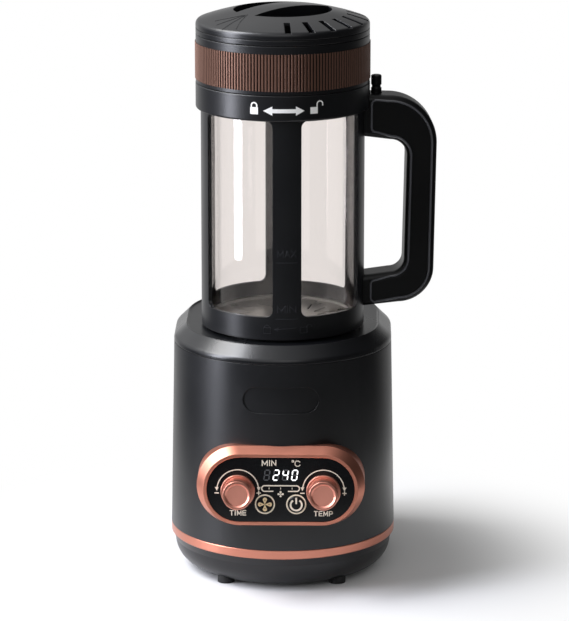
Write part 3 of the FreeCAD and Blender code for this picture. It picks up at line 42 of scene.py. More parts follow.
SIDESTEP = 0.00124
FOCAL_LENGTH = 206.14
FILM_WIDTH = 36.0

view_ahead = Vector((-math.sin(HEADING), math.cos(HEADING), 0))
view_aside = Vector((math.cos(HEADING), math.sin(HEADING), 0))
lens = bpy.data.cameras.new("camera")
lens.lens = FOCAL_LENGTH
lens.sensor_width = FILM_WIDTH
lens.clip_end = 50.0
camera = bpy.data.objects.new("camera", lens)
camera.location = view_aside * SIDESTEP - view_ahead * TO_AXIS + Vector((0, 0, EYE_HEIGHT))
camera.rotation_euler = (math.radians(90) - PITCH, 0, HEADING)
bpy.context.scene.collection.objects.link(camera)
bpy.context.scene.camera = camera
bpy.context.scene.view_settings.view_transform = "Standard"


# ---- floor and backdrop ----
# The roaster stands on a round of matt white paper that runs out into an even white.
# Beyond it gloss sees the studio: a white wall behind that is dimmer at its top and its
# right, a ceiling that is pale at the left and dark far back, and a dark front.
PAPER_RADIUS = 0.35
PAPER_SIDES = 48
PAPER_TOOTH = 900.0
FADE_START = 0.11
FADE_END = 0.28
PALE_SIDE = 1.0
DARK_SIDE = 0.05
DARK_FRONT = 0.045
CEILING_BACK = 0.35
WALL_TOP = 0.2
WALL_RIGHT = 0.6
SOFT_ROOM = 0.40


def linear(code):
    """An sRGB hex colour as linear values."""
    parts = [int(code[i:i + 2], 16) / 255 for i in (1, 3, 5)]
    return tuple(c / 12.92 if c <= 0.04045 else ((c + 0.055) / 1.055) ** 2.4
                 for c in parts) + (1.0,)


def finish(name):
    """A new empty node material."""
    made = bpy.data.materials.new(name)
    made.use_nodes = True
    made.node_tree.nodes.clear()
    return made


def node(made, kind, sockets=None, **settings):
    """Adds a node; a socket takes a value, or (node, output) to link it."""
    tree = made.node_tree
    new = tree.nodes.new("ShaderNode" + kind)
    for name, value in settings.items():
        setattr(new, name, value)
    for name, value in (sockets or {}).items():
        if isinstance(value, tuple) and isinstance(value[0], bpy.types.Node):
            tree.links.new(value[0].outputs[value[1]], new.inputs[name])
        else:
            new.inputs[name].default_value = value
    return new


studio = bpy.data.worlds.new("studio")
studio.use_nodes = True
bpy.context.scene.world = studio
studio.node_tree.nodes.clear()
way = node(studio, "SeparateXYZ", {0: (node(studio, "TexCoord"), "Generated")})
# the ceiling: pale to dark from left to right, nothing below eye level, dimmer far back
to_right = node(studio, "MapRange", {"Value": (way, "X"), "From Min": -0.1, "From Max": 0.55,
                                     "To Min": PALE_SIDE, "To Max": DARK_SIDE})
upwards = node(studio, "MapRange", {"Value": (way, "Z"), "From Min": -0.1, "From Max": 0.3})
to_back = node(studio, "MapRange", {"Value": (way, "Y"), "From Min": 0.75, "From Max": 0.97,
                                    "To Min": 1.0, "To Max": CEILING_BACK})
ceiling = node(studio, "Math", {0: (to_right, 0), 1: (upwards, 0)}, operation="MULTIPLY")
ceiling = node(studio, "Math", {0: (ceiling, 0), 1: (to_back, 0)}, operation="MULTIPLY")
# the wall behind: brightest low down and at the left
behind = node(studio, "MapRange", {"Value": (way, "Y"), "From Min": 0.4, "From Max": 0.95})
wall_top = node(studio, "MapRange", {"Value": (way, "Z"), "From Min": 0.05, "From Max": 0.3,
                                     "To Min": 1.0, "To Max": WALL_TOP})
wall_right = node(studio, "MapRange", {"Value": (way, "X"), "From Min": -0.5, "From Max": 0.5,
                                       "To Min": 1.0, "To Max": WALL_RIGHT})
wall = node(studio, "Math", {0: (behind, 0), 1: (wall_top, 0)}, operation="MULTIPLY")
wall = node(studio, "Math", {0: (wall, 0), 1: (wall_right, 0)}, operation="MULTIPLY")
gloss = node(studio, "Math", {0: (ceiling, 0), 1: (wall, 0)}, operation="MAXIMUM")
gloss = node(studio, "Math", {0: (gloss, 0), 1: DARK_FRONT}, operation="MAXIMUM")
# lens and glass see plain white, gloss the walls, and matt surfaces one soft light
rays = node(studio, "LightPath")
seen = node(studio, "Math", {0: (rays, "Is Camera Ray"), 1: (rays, "Is Transmission Ray")},
            operation="MAXIMUM")
mirrored = node(studio, "Mix", {0: (rays, "Is Glossy Ray"), 2: SOFT_ROOM, 3: (gloss, 0)})
strength = node(studio, "Math", {0: (mirrored, 0), 1: (seen, 0)}, operation="MAXIMUM")
room = node(studio, "Background", {"Color": linear("#ffffff"), "Strength": (strength, 0)})
node(studio, "OutputWorld", {"Surface": (room, 0)})

paper = finish("matt_paper")
# matt sized paper: no gloss, only a faint tooth, drawn about a millimetre wide to show
spot = node(paper, "TexCoord")
tooth = node(paper, "TexNoise", {"Vector": (spot, "Object"), "Scale": PAPER_TOOTH, "Detail": 3.0})
dents = node(paper, "Bump", {"Height": (tooth, "Fac"), "Strength": 0.05, "Distance": 0.0002})
matt = node(paper, "BsdfPrincipled", {"Base Color": linear("#dedede"), "Roughness": 0.9,
                                      "Specular IOR Level": 0.1, "Normal": (dents, 0)})
even = node(paper, "Emission", {"Color": linear("#ffffff"), "Strength": 1.0})
# lens, glass and gloss see it turn to plain white further out; it keeps its shadow near by
away = node(paper, "VectorMath", {0: (spot, "Object")}, operation="LENGTH")
fade = node(paper, "MapRange", {"Value": (away, "Value"), "From Min": FADE_START,
                                "From Max": FADE_END}, interpolation_type="SMOOTHSTEP")
rays = node(paper, "LightPath")
seen = node(paper, "Math", {0: (rays, "Is Camera Ray"), 1: (rays, "Is Transmission Ray")},
            operation="MAXIMUM")
seen = node(paper, "Math", {0: (seen, 0), 1: (rays, "Is Glossy Ray")}, operation="MAXIMUM")
shown = node(paper, "Math", {0: (seen, 0), 1: (fade, 0)}, operation="MULTIPLY")
mixed = node(paper, "MixShader", {0: (shown, 0), 1: (matt, 0), 2: (even, 0)})
node(paper, "OutputMaterial", {"Surface": (mixed, 0)})

sheet = bpy.data.meshes.new("floor")
turns = [math.tau * i / PAPER_SIDES for i in range(PAPER_SIDES)]
around = [(PAPER_RADIUS * math.cos(t), PAPER_RADIUS * math.sin(t), 0) for t in turns]
sheet.from_pydata(around, [], [range(PAPER_SIDES)])
sheet.materials.append(paper)
floor = bpy.data.objects.new("floor", sheet)
bpy.context.scene.collection.objects.link(floor)


# ---- studio lights ----
# A tall strip of light stands close at the left, a softbox hangs over the left shoulder
# and a weak one stands far in front.
DAYLIGHT = (0.88, 0.9, 1.0)


def softbox(name, size, watts, place, aim, colour=(1.0, 1.0, 1.0)):
    """A large soft area lamp."""
    lamp = bpy.data.lights.new(name, "AREA")
    lamp.shape = "RECTANGLE"
    lamp.size, lamp.size_y = size
    lamp.energy = watts
    lamp.color = colour
    box = bpy.data.objects.new(name, lamp)
    box.location = place
    box.rotation_euler = (Vector(aim) - Vector(place)).to_track_quat("-Z", "Y").to_euler()
    bpy.context.scene.collection.objects.link(box)


softbox("strip", (0.34, 1.9), 34.0, (-1.07, -0.38, 0.80), (0, 0, 0.4), DAYLIGHT)
softbox("shoulder", (0.5, 0.8), 16.0, (-0.92, 0.05, 1.3), (0, 0, 0.2))
softbox("front", (1.2, 0.8), 4.0, (0.3, -2.6, 1.9), (0, 0, 0.2))


# ---- mouldings of the base ----
# Bowl, barrel and shoulder cover are injection mouldings in black ABS.  They plug into
# each other, and stand on four moulded rubber feet.
MM = 0.001
BLACK_ABS = "#0c0d10"
FLOW_LENGTH = 55.0
GRIT_DEPTH = 0.06
MOULD_SPREAD = 0.035


def shaded(code, part):
    """An sRGB hex colour as linear values, made lighter or darker by a factor."""
    return tuple(c * part for c in linear(code)[:3]) + (1.0,)


def moulded(name, colour, roughness, grit, specular=0.5, edge=0.35):
    """Moulded plastic or rubber: the grit of its mould, faint flow marks and soft edges."""
    made = finish(name)
    spot = node(made, "TexCoord")
    flow = node(made, "TexNoise", {"Vector": (spot, "Object"), "Scale": 1 / (FLOW_LENGTH * MM),
                                   "Detail": 3.0})
    # real mould grit is about a tenth of a millimetre, so it is drawn coarser to show
    sparks = node(made, "TexNoise", {"Vector": (spot, "Object"), "Scale": 1 / (grit * MM),
                                     "Detail": 2.0, "Roughness": 0.65})
    rounded = node(made, "Bevel", {"Radius": edge * MM}, samples=4)
    pits = node(made, "Bump", {"Height": (sparks, "Fac"), "Normal": (rounded, 0),
                               "Strength": 0.18, "Distance": GRIT_DEPTH * MM})
    dull = node(made, "MapRange", {"Value": (flow, "Fac"), "From Min": 0.3, "From Max": 0.7,
                                   "To Min": roughness - MOULD_SPREAD,
                                   "To Max": roughness + MOULD_SPREAD})
    tone = node(made, "Mix", {0: (flow, "Fac"), 6: shaded(colour, 0.85),
                              7: shaded(colour, 1.15)}, data_type="RGBA")
    skin = node(made, "BsdfPrincipled", {"Base Color": (tone, 2), "Roughness": (dull, 0),
                                         "Specular IOR Level": specular, "Normal": (pits, 0)})
    node(made, "OutputMaterial", {"Surface": (skin, 0)})
    return made


def dress(material, *names):
    """Gives a material to nodes of the frame."""
    for name in names:
        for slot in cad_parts[name].material_slots:
            slot.material = material


# spark-eroded satin: the highlight of the strip light spreads into a broad upright band
satin_abs = moulded("spark_eroded_abs", BLACK_ABS, 0.35, 0.55)
dress(satin_abs, "lower_shell", "body_barrel", "cord_gland")

# the cover's mould is blasted finer: its chamfer throws a sharper, whiter gleam at the left
fine_abs = moulded("fine_blasted_abs", BLACK_ABS, 0.28, 0.4, edge=0.9)
dress(fine_abs, "top_cover")

# moulded rubber: nearly black and without gloss
foot_rubber = moulded("moulded_rubber", "#161616", 0.8, 0.8)
dress(foot_rubber, "rubber_feet")


# ---- trim band ----
# A thin ring between bowl and barrel, of ABS that is plated with copper and tinted
# rose-gold, and clipped on from below.
ROSE = "#cc8773"
SMEAR_LENGTH = 18.0
GRAIN_DEPTH = 0.03
GRAIN_STRETCH = 6.0
PLATE_SPREAD = 0.04


def plated(name, colour, roughness, grain, edge=0.3):
    """Bright metal finish with the fine grain of its polishing and a soft edge."""
    made = finish(name)
    spot = node(made, "TexCoord")
    stretched = node(made, "Mapping", {"Vector": (spot, "Object"),
                                       "Scale": (1.0, 1.0, GRAIN_STRETCH)})
    # polishing lines are finer than a tenth of a millimetre, so they are drawn coarser to show
    lines = node(made, "TexNoise", {"Vector": (stretched, 0), "Scale": 1 / (grain * MM),
                                    "Detail": 3.0})
    smears = node(made, "TexNoise", {"Vector": (spot, "Object"),
                                     "Scale": 1 / (SMEAR_LENGTH * MM), "Detail": 2.0})
    rounded = node(made, "Bevel", {"Radius": edge * MM}, samples=4)
    pits = node(made, "Bump", {"Height": (lines, "Fac"), "Normal": (rounded, 0),
                               "Strength": 0.12, "Distance": GRAIN_DEPTH * MM})
    dull = node(made, "MapRange", {"Value": (smears, "Fac"), "From Min": 0.3, "From Max": 0.7,
                                   "To Min": roughness - PLATE_SPREAD,
                                   "To Max": roughness + PLATE_SPREAD})
    tone = node(made, "Mix", {0: (smears, "Fac"), 6: shaded(colour, 0.93),
                              7: shaded(colour, 1.05)}, data_type="RGBA")
    skin = node(made, "BsdfPrincipled", {"Base Color": (tone, 2), "Metallic": 1.0,
                                         "Roughness": (dull, 0), "Normal": (pits, 0)})
    node(made, "OutputMaterial", {"Surface": (skin, 0)})
    return made


# satin copper plate: takes the colour of the room softly, brightest towards the lights
rose_plate = plated("satin_rose_plate", ROSE, 0.34, 1.2, edge=0.7)
dress(rose_plate, "trim_band")


# ---- intake, blower and heater ----
# Inside the base a motor turns an impeller under a moulded cover; its air goes up through
# a steel duct with a heating coil on mica.  Screws hold it all on posts of the bowl.
# glass-filled nylon: dull dark grey with a rough mould skin
nylon = moulded("glass_filled_nylon", "#2b2c2e", 0.6, 0.9)
dress(nylon, "intake_grille", "blower_base", "blower_cover", "impeller", "encoder_housings",
      "button_switches", "jug_switch")
# zinc-plated steel: pale, slightly blue metal
zinc_plate = plated("zinc_plated_steel", "#b9bcbf", 0.32, 0.8)
dress(zinc_plate, "grille_screws", "blower_screws", "handle_screws", "motor_bearing",
      "pin_spring")
# drawn steel sheet: grey with the grain of its rolling
steel = plated("rolled_steel", "#a3a29f", 0.38, 1.6)
dress(steel, "motor_can", "motor_shaft", "time_shaft", "temp_shaft", "thermal_cutout")
# stainless sheet: brighter than the steel, with fine rolling lines
stainless = plated("stainless_sheet", "#b4b1ac", 0.3, 1.0)
dress(stainless, "heater_duct", "air_plate", "lid_mesh", "chaff_screen", "chaff_chimney")
# nickel-chrome wire with a dark oxide skin
heating_wire = plated("oxidised_nichrome", "#6f6660", 0.5, 0.5)
dress(heating_wire, "heater_coil")
# pressed mica: pale brown flakes with a soft shine
mica = moulded("pressed_mica", "#a58c64", 0.45, 2.5)
dress(mica, "mica_frame")
# glass-fibre board under green solder mask
board = moulded("solder_masked_board", "#1d4a31", 0.38, 1.5)
dress(board, "mains_board", "control_board", "board_spacers")
# moulded silicone: milky grey and half matt
silicone = moulded("moulded_silicone", "#a9a7a2", 0.5, 0.9, specular=0.4)
dress(silicone, "duct_gasket", "jug_base_seal", "glass_seal_lower", "glass_seal_upper",
      "lid_gasket")


# ---- control frame and panel ----
# A plated ABS frame runs out of the round barrel and holds a flat, black acrylic panel.
# Behind the panel sit the board, its display and two rotary encoders.
# brushed over, the frame's plate is duller than the band: its bevel runs from pale to dark
dull_plate = plated("brushed_rose_plate", "#d08a75", 0.42, 1.2, edge=0.7)
dress(dull_plate, "panel_frame")

# polished acrylic, black right through: the only mirror-like black of the roaster
black_acrylic = moulded("polished_black_acrylic", "#0b0c0e", 0.2, 3.0, specular=0.4, edge=0.2)
dress(black_acrylic, "control_panel", "fan_button", "power_button", "display_module")

# ---- button rings ----
# Two thin rings of turned brass, lacquered in the cream of the legends and pressed into
# the button holes.
# stoved lacquer: pale, with a soft shine
cream_lacquer = moulded("cream_lacquer_on_brass", "#e2d6bf", 0.35, 0.8, edge=0.15)
dress(cream_lacquer, "button_rings")

# ---- legends of the panel ----
# Screen-printed on the panel in cream ink: names, arcs with arrow tips round the knobs,
# an outlined bar for the fan speed and a small fan wheel below it.
PANEL_CENTRE = (0.0, -86.2, 78.4)
PANEL_TILT = math.radians(3.0)
PANEL_SINK = 0.8
KNOB_X = 29.8
ARC_RISE = -0.4
ARC_RADIUS = 14.5
LINE = 0.72
STROKE = 0.62
INK = 0.05


def on_panel(x, y, out):
    """A place on the panel's face, from its middle, in metres."""
    out -= PANEL_SINK
    sine, cosine = math.sin(PANEL_TILT), math.cos(PANEL_TILT)
    return Vector((x, PANEL_CENTRE[1] + y * sine - out * cosine,
                   PANEL_CENTRE[2] + y * cosine + out * sine)) * MM


def line(points, width, closed=False):
    """Patches of a drawn line of even width."""
    count = len(points)
    sides = []
    for i, (x, y) in enumerate(points):
        before = points[i - 1] if closed or i else points[i]
        after = points[(i + 1) % count] if closed or i < count - 1 else points[i]
        dx, dy = after[0] - before[0], after[1] - before[1]
        size = math.hypot(dx, dy) * 2 / width
        sides.append(((x - dy / size, y + dx / size), (x + dy / size, y - dx / size)))
    pairs = list(zip(sides, sides[1:] + sides[:1] if closed else sides[1:]))
    return [[a[0], a[1], b[1], b[0]] for a, b in pairs]


def arc(x, y, radius, start, end, steps=24):
    """Points of an arc, its angles in degrees."""
    turns = [math.radians(start + (end - start) * i / steps) for i in range(steps + 1)]
    return [(x + radius * math.cos(t), y + radius * math.sin(t)) for t in turns]


# strokes of plain capitals in a box of one by one
CAPITALS = {"A": [[(0, 0), (0.5, 1), (1, 0)], [(0.2, 0.33), (0.8, 0.33)]],
            "C": [[(1, 0.8), (0.72, 1), (0.28, 1), (0, 0.7), (0, 0.3), (0.28, 0), (0.72, 0),
                   (1, 0.2)]],
            "E": [[(1, 1), (0, 1), (0, 0), (1, 0)], [(0, 0.5), (0.9, 0.5)]],
            "I": [[(0.5, 0), (0.5, 1)]],
            "M": [[(0, 0), (0, 1), (0.5, 0.2), (1, 1), (1, 0)]],
            "N": [[(0, 0), (0, 1), (1, 0), (1, 1)]],
            "P": [[(0, 0), (0, 1), (0.75, 1), (1, 0.84), (1, 0.58), (0.75, 0.42), (0, 0.42)]],
            "T": [[(0, 1), (1, 1)], [(0.5, 1), (0.5, 0)]],
            "X": [[(0, 0), (1, 1)], [(0, 1), (1, 0)]]}
# how wide a letter is, where it isn't as wide as the others
WIDTHS = {"I": 0.2, "M": 1.25}


def bars(points, width):
    """Patches of straight strokes with square ends that overlap at the corners."""
    strokes = []
    for (x0, y0), (x1, y1) in zip(points, points[1:]):
        size = math.hypot(x1 - x0, y1 - y0) * 2 / width
        dx, dy = (x1 - x0) / size, (y1 - y0) / size
        strokes.append([(x0 - dx - dy, y0 - dy + dx), (x0 - dx + dy, y0 - dy - dx),
                        (x1 + dx + dy, y1 + dy - dx), (x1 + dx - dy, y1 + dy + dx)])
    return strokes


def lettering(word, left, low, right, high):
    """Patches of a word in plain capitals that fills a box."""
    shares = [WIDTHS.get(letter, 1.0) for letter in word]
    unit = (right - left - STROKE * (len(word) * 2 - 1)) / sum(shares)
    patches, x = [], left + STROKE / 2
    for letter, share in zip(word, shares):
        for stroke in CAPITALS[letter]:
            patches += bars([(x + u * share * unit, low + STROKE / 2 + v * (high - low - STROKE))
                             for u, v in stroke], STROKE)
        x += share * unit + 2 * STROKE
    return patches


def solid(form, name, material):
    """Turns a finished form into an object of the scene."""
    bmesh.ops.recalc_face_normals(form, faces=form.faces)
    mesh = bpy.data.meshes.new(name)
    form.to_mesh(mesh)
    form.free()
    mesh.materials.append(material)
    made = bpy.data.objects.new(name, mesh)
    bpy.context.scene.collection.objects.link(made)
    return made


def relief(name, patches, lay, thick, material, body, pitch=0.0):
    """A thin raised drawing of patches in millimetres, laid on a surface.

    Where the surface is round, the patches are cut at every pitch so that they bend with it."""
    form = bmesh.new()
    for patch in patches:
        form.faces.new([form.verts.new((x, y, 0)) for x, y in patch])
    bmesh.ops.remove_doubles(form, verts=form.verts, dist=1e-4)
    if pitch:
        low, high = min(v.co.x for v in form.verts), max(v.co.x for v in form.verts)
        for i in range(math.ceil(low / pitch), math.ceil(high / pitch)):
            bmesh.ops.bisect_plane(form, geom=form.verts[:] + form.edges[:] + form.faces[:],
                                   plane_co=(i * pitch, 0, 0), plane_no=(1, 0, 0))
    bmesh.ops.recalc_face_normals(form, faces=form.faces)
    raised = bmesh.ops.extrude_face_region(form, geom=form.faces[:])["geom"]
    for vert in [v for v in raised if isinstance(v, bmesh.types.BMVert)]:
        vert.co.z = thick
    for vert in form.verts:
        vert.co = lay(vert.co.x, vert.co.y, vert.co.z)
    made = solid(form, name, material)
    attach(made, body)


def inked(name, colour, glow=0.0):
    """Screen-printing ink: matt, slightly uneven, or lit from behind."""
    made = finish(name)
    spot = node(made, "TexCoord")
    # the mesh of the screen is finer than this, which is drawn coarser to show
    thin = node(made, "TexNoise", {"Vector": (spot, "Object"), "Scale": 1 / (0.8 * MM),
                                   "Detail": 3.0})
    tone = node(made, "Mix", {0: (thin, "Fac"), 6: shaded(colour, 0.84),
                              7: shaded(colour, 1.0)}, data_type="RGBA")
    film = node(made, "Bump", {"Height": (thin, "Fac"), "Strength": 0.1, "Distance": 0.02 * MM})
    dull = node(made, "MapRange", {"Value": (thin, "Fac"), "To Min": 0.45, "To Max": 0.6})
    skin = node(made, "BsdfPrincipled", {"Base Color": (tone, 2), "Roughness": (dull, 0),
                                         "Normal": (film, 0)})
    if glow:
        skin.inputs["Emission Color"].default_value = linear(colour)
        skin.inputs["Emission Strength"].default_value = glow
    node(made, "OutputMaterial", {"Surface": (skin, 0)})
    return made


def box_of(left, low, right, high):
    """One rectangular patch."""
    return [[(left, low), (right, low), (right, high), (left, high)]]


def petals(x, y, reach, width, count=4, steps=12):
    """Patches of a fan wheel with slim rounded blades."""
    edge = [(0.0, 0.0)]
    for i in range(steps + 1):
        t = math.pi * i / steps
        edge.append((reach - width / 2 + width / 2 * math.sin(t), -width / 2 * math.cos(t)))
    wheel = []
    for blade in range(count):
        turn = math.tau * blade / count + math.radians(90)
        wheel.append([(x + u * math.cos(turn) - v * math.sin(turn),
                       y + u * math.sin(turn) + v * math.cos(turn)) for u, v in edge])
    return wheel


# screen ink, stoved: matt cream that stands out from the black
cream_ink = inked("cream_screen_ink", "#e9dfcd")
legends = lettering("MIN", -13.1, 16.85, -3.0, 21.1) + lettering("C", 9.7, 16.5, 13.7, 20.8)
legends += line(arc(8.5, 20.3, 0.62, 0, 345, 10), 0.5, closed=True)
legends += lettering("TIME", -35.4, -18.6, -23.9, -14.8)
legends += lettering("TEMP", 23.2, -18.9, 36.3, -15.1)
for side in (-1, 1):
    # an arc over each knob with an arrow tip at both ends, a minus at its left, a plus right
    middle = side * KNOB_X
    legends += line(arc(middle, ARC_RISE, ARC_RADIUS, 6, 174, 40), LINE)
    for end in (-1, 1):
        tip = middle + end * (ARC_RADIUS + 0.1)
        legends.append([(tip - 1.35, 1.7), (tip, -0.9), (tip + 1.35, 1.7)])
    minus, plus = middle - ARC_RADIUS, middle + ARC_RADIUS
    legends += box_of(minus - 1.6, -2.9, minus + 1.4, -2.1)
    legends += box_of(plus - 1.4, -2.85, plus + 1.6, -2.15)
    legends += box_of(plus - 0.25, -4.0, plus + 0.45, -1.0)
outline = [(-5.1, -1.2)] + arc(-11.1, 0.8, 2.0, 270, 90, 12)
outline += arc(11.1, 0.8, 2.0, 90, -90, 12) + [(5.1, -1.2)]
legends += line(outline, 0.8)
for x in (-8.0, 0.0, 8.0):
    legends += box_of(x - 0.2, 0.2, x + 0.2, 1.5)
legends += petals(0, -3.2, 2.2, 1.5)
relief("panel_legends", legends, on_panel, INK, cream_ink, "base")

# ---- display digits ----
# Four slanted seven-segment digits shine through the panel from the display behind it.
# The first one and the unused bars stay dark.
DIGIT_HEIGHT = 8.0
DIGIT_WIDTH = 4.3
DIGIT_STEP = 6.42
DIGITS_LEFT, DIGITS_LOW = -12.2, 6.35
BAR = 0.88
BAR_GAP = 0.2
SLANT = math.tan(math.radians(8))
LIT = ("", "abged", "fgbc", "abcdef")


def digit_bars(left, low):
    """The seven bars of a digit by letter."""
    half, w, h, g = BAR / 2, DIGIT_WIDTH, DIGIT_HEIGHT, BAR_GAP

    def flat(y):
        return [(g + half, y), (g + BAR, y - half), (w - g - BAR, y - half), (w - g - half, y),
                (w - g - BAR, y + half), (g + BAR, y + half)]

    def upright(x, start, end):
        return [(x, start + g), (x + half, start + g + half), (x + half, end - g - half),
                (x, end - g), (x - half, end - g - half), (x - half, start + g + half)]

    seven = {"a": flat(h - half), "g": flat(h / 2), "d": flat(half),
             "f": upright(half, h / 2, h - half), "e": upright(half, half, h / 2),
             "b": upright(w - half, h / 2, h - half), "c": upright(w - half, half, h / 2)}
    return {key: [(left + x + y * SLANT, low + y) for x, y in bar]
            for key, bar in seven.items()}


# segments of the display: pure white where lit, smoke grey where not
lit_bar = inked("lit_display_bar", "#ffffff", glow=1.0)
dark_bar = inked("unlit_display_bar", "#45474a")
lit, dark = [], []
for order, shown_bars in enumerate(LIT):
    for key, bar in digit_bars(DIGITS_LEFT + DIGIT_STEP * order, DIGITS_LOW).items():
        (lit if key in shown_bars else dark).append(bar)
relief("digits_lit", lit, on_panel, INK, lit_bar, "base")
relief("digits_dark", dark, on_panel, INK * 0.8, dark_bar, "base")

# ---- button symbols ----
# Screen-printed on the two sprung buttons: a fan wheel in gold ink with a darker eye in
# each blade, and the usual sign for power in cream.
BUTTON_X = 10.9
BUTTON_Y = -10.4
BUTTON_PROUD = 0.9
EYE_REACH = 2.9
EYE_RADIUS = 0.55


def on_button(side):
    """Places on a button's face, from its middle."""
    return lambda x, y, out: on_panel(side * BUTTON_X + x, BUTTON_Y + y, BUTTON_PROUD + out)


# gold and umber ink: the same matt film as the cream, in two browner tones
gold_ink = inked("gold_screen_ink", "#dcc496")
umber_ink = inked("umber_screen_ink", "#8d7a58")
relief("fan_symbol", petals(0, 0, 4.9, 3.0), on_button(-1), INK, gold_ink, "fan_key")
eyes = [arc(EYE_REACH * math.cos(t), EYE_REACH * math.sin(t), EYE_RADIUS, 0, 345, 11)
        for t in (0, math.radians(90), math.radians(180), math.radians(270))]
relief("fan_symbol_eyes", eyes, lambda x, y, out: on_button(-1)(x, y, out + INK), INK * 0.4,
       umber_ink, "fan_key")
power = line(arc(0, -0.3, 3.9, 125, 415, 36), 1.25) + box_of(-0.6, 0.4, 0.6, 4.9)
relief("power_symbol", power, on_button(1), INK, cream_ink, "power_key")

# ---- knobs ----
# Turned from solid aluminium and anodised copper-red: a flange, a straight grip, a bright
# cut rim and a dished face with the rings of the lathe.
KNOB_FACE = 8.0
KNOB_RISE = -0.8
LATHE_PITCH = 0.7
LATHE_DEPTH = 0.04


def turned_copper(name, side):
    """Anodised aluminium with rings round a knob's axis, duller on the face than outside."""
    made = finish(name)
    spot = node(made, "TexCoord")
    axis = on_panel(side * KNOB_X, KNOB_RISE, 0.0)
    moved = node(made, "VectorMath", {0: (spot, "Object"), 1: tuple(axis)},
                 operation="SUBTRACT")
    flat = node(made, "VectorMath", {0: (moved, 0), 1: (1.0, 0.0, 1.0)}, operation="MULTIPLY")
    far = node(made, "VectorMath", {0: (flat, 0)}, operation="LENGTH")
    # the feed of the lathe is finer than this, which is drawn coarser to show
    rings = node(made, "Math", {0: (far, "Value"), 1: math.tau / (LATHE_PITCH * MM)},
                 operation="MULTIPLY")
    wave = node(made, "Math", {0: (rings, 0)}, operation="SINE")
    grain = node(made, "TexNoise", {"Vector": (spot, "Object"), "Scale": 1 / (2.5 * MM),
                                    "Detail": 3.0})
    both = node(made, "Math", {0: (wave, 0), 1: (grain, "Fac")}, operation="ADD")
    rounded = node(made, "Bevel", {"Radius": 0.25 * MM}, samples=4)
    cuts = node(made, "Bump", {"Height": (both, 0), "Normal": (rounded, 0), "Strength": 0.12,
                               "Distance": LATHE_DEPTH * MM})
    rim = node(made, "MapRange", {"Value": (far, "Value"), "From Min": (KNOB_FACE - 0.3) * MM,
                                  "From Max": KNOB_FACE * MM})
    worn = node(made, "MapRange", {"Value": (grain, "Fac"), "To Min": 0.4, "To Max": 0.5})
    dull = node(made, "Mix", {0: (rim, 0), 2: (worn, 0), 3: 0.28})
    skin = node(made, "BsdfPrincipled", {"Base Color": linear("#e09a88"), "Metallic": 1.0,
                                         "Roughness": (dull, 0), "Normal": (cuts, 0)})
    node(made, "OutputMaterial", {"Surface": (skin, 0)})
    return made


# copper-red anodising: metallic rose, satin on the face and brighter down the grip
dress(turned_copper("turned_copper_anodised", -1), "time_knob")
dress(turned_copper("turned_copper_anodised_right", 1), "temp_knob")


# ---- cage and foot of the jug ----
# The jug's glass stands in a cage of black ABS with four posts.  Its foot ring and its
# front post carry raised marks from the mould: padlocks, arrow, and two level lines.
CAGE_RADIUS = 57.6
CAGE_FRONT = math.radians(-89.0)
MARK_HEIGHT = 0.2
MARK_LINE = 0.45
dress(satin_abs, "jug_cage", "jug_foot")


def round_the_jug(radius):
    """Places on a round wall: along it from the front, up, and out of it."""
    def lay(along, up, out):
        turn = CAGE_FRONT + along / radius
        reach = radius + out
        return Vector((reach * math.cos(turn), reach * math.sin(turn), up)) * MM
    return lay


def outlined(left, low, right, high, width):
    """The outline of a box."""
    return line([(left, low), (right, low), (right, high), (left, high)], width, closed=True)


# a shut padlock, an arrow to the left, and an open padlock on the foot ring
marks = outlined(-13.5, 182.9, -8.5, 187.2, MARK_LINE)
marks += line(arc(-11.0, 187.2, 1.8, 180, 0, 12), MARK_LINE)
marks += line([(-4.6, 186.0), (9.2, 187.0)], 0.4) + [[(-5.9, 185.9), (-2.8, 187.5), (-3.2, 184.6)]]
marks += outlined(12.3, 183.2, 17.2, 187.4, MARK_LINE)
marks += line(arc(18.9, 187.4, 1.8, 180, 0, 12), MARK_LINE)
# two level lines with their names on the front post
marks += box_of(-4.8, 233.3, 10.4, 233.8) + box_of(-4.8, 193.2, 10.4, 193.7)
marks += lettering("MAX", -3.9, 237.4, 9.6, 242.4) + lettering("MIN", -3.9, 197.9, 9.6, 203.0)
# the marks are cut smooth into the mould, so they shine a little more than the skin round them;
# their lighter grey colour is painted sheen
smooth_painted_sheen_abs = moulded("smooth_painted_sheen_marks_abs", "#212226", 0.3, 0.4, edge=0.15)
relief("mould_marks", marks, round_the_jug(CAGE_RADIUS), MARK_HEIGHT, smooth_painted_sheen_abs, "jug",
       pitch=1.0)

# ---- glass of the jug ----
# A tube of borosilicate glass, drawn and fire-polished at both ends.  It is held in the
# cage between two seals of silicone.
# clear and hard, hardly tinted: shallow draw lines bend what is seen through it
clear = finish("borosilicate_tube")
spot = node(clear, "TexCoord")
drawn = node(clear, "Mapping", {"Vector": (spot, "Object"), "Scale": (1.0, 1.0, 0.15)})
lines = node(clear, "TexNoise", {"Vector": (drawn, 0), "Scale": 1 / (9 * MM), "Detail": 1.0})
ripple = node(clear, "Bump", {"Height": (lines, "Fac"), "Strength": 0.06, "Distance": 0.3 * MM})
smears = node(clear, "MapRange", {"Value": (lines, "Fac"), "To Min": 0.0, "To Max": 0.03})
tube = node(clear, "BsdfPrincipled", {"Base Color": linear("#f6f2f0"), "Roughness": (smears, 0),
                                      "IOR": 1.47, "Transmission Weight": 1.0,
                                      "Normal": (ripple, 0)})
node(clear, "OutputMaterial", {"Surface": (tube, 0)})
dress(clear, "jug_glass")

# ---- collar of the jug ----
# A black ABS collar is screwed on the cage.  White pad-printed signs on its front say
# which way the lid locks.
COLLAR_RADIUS = 61.1
dress(satin_abs, "jug_collar")


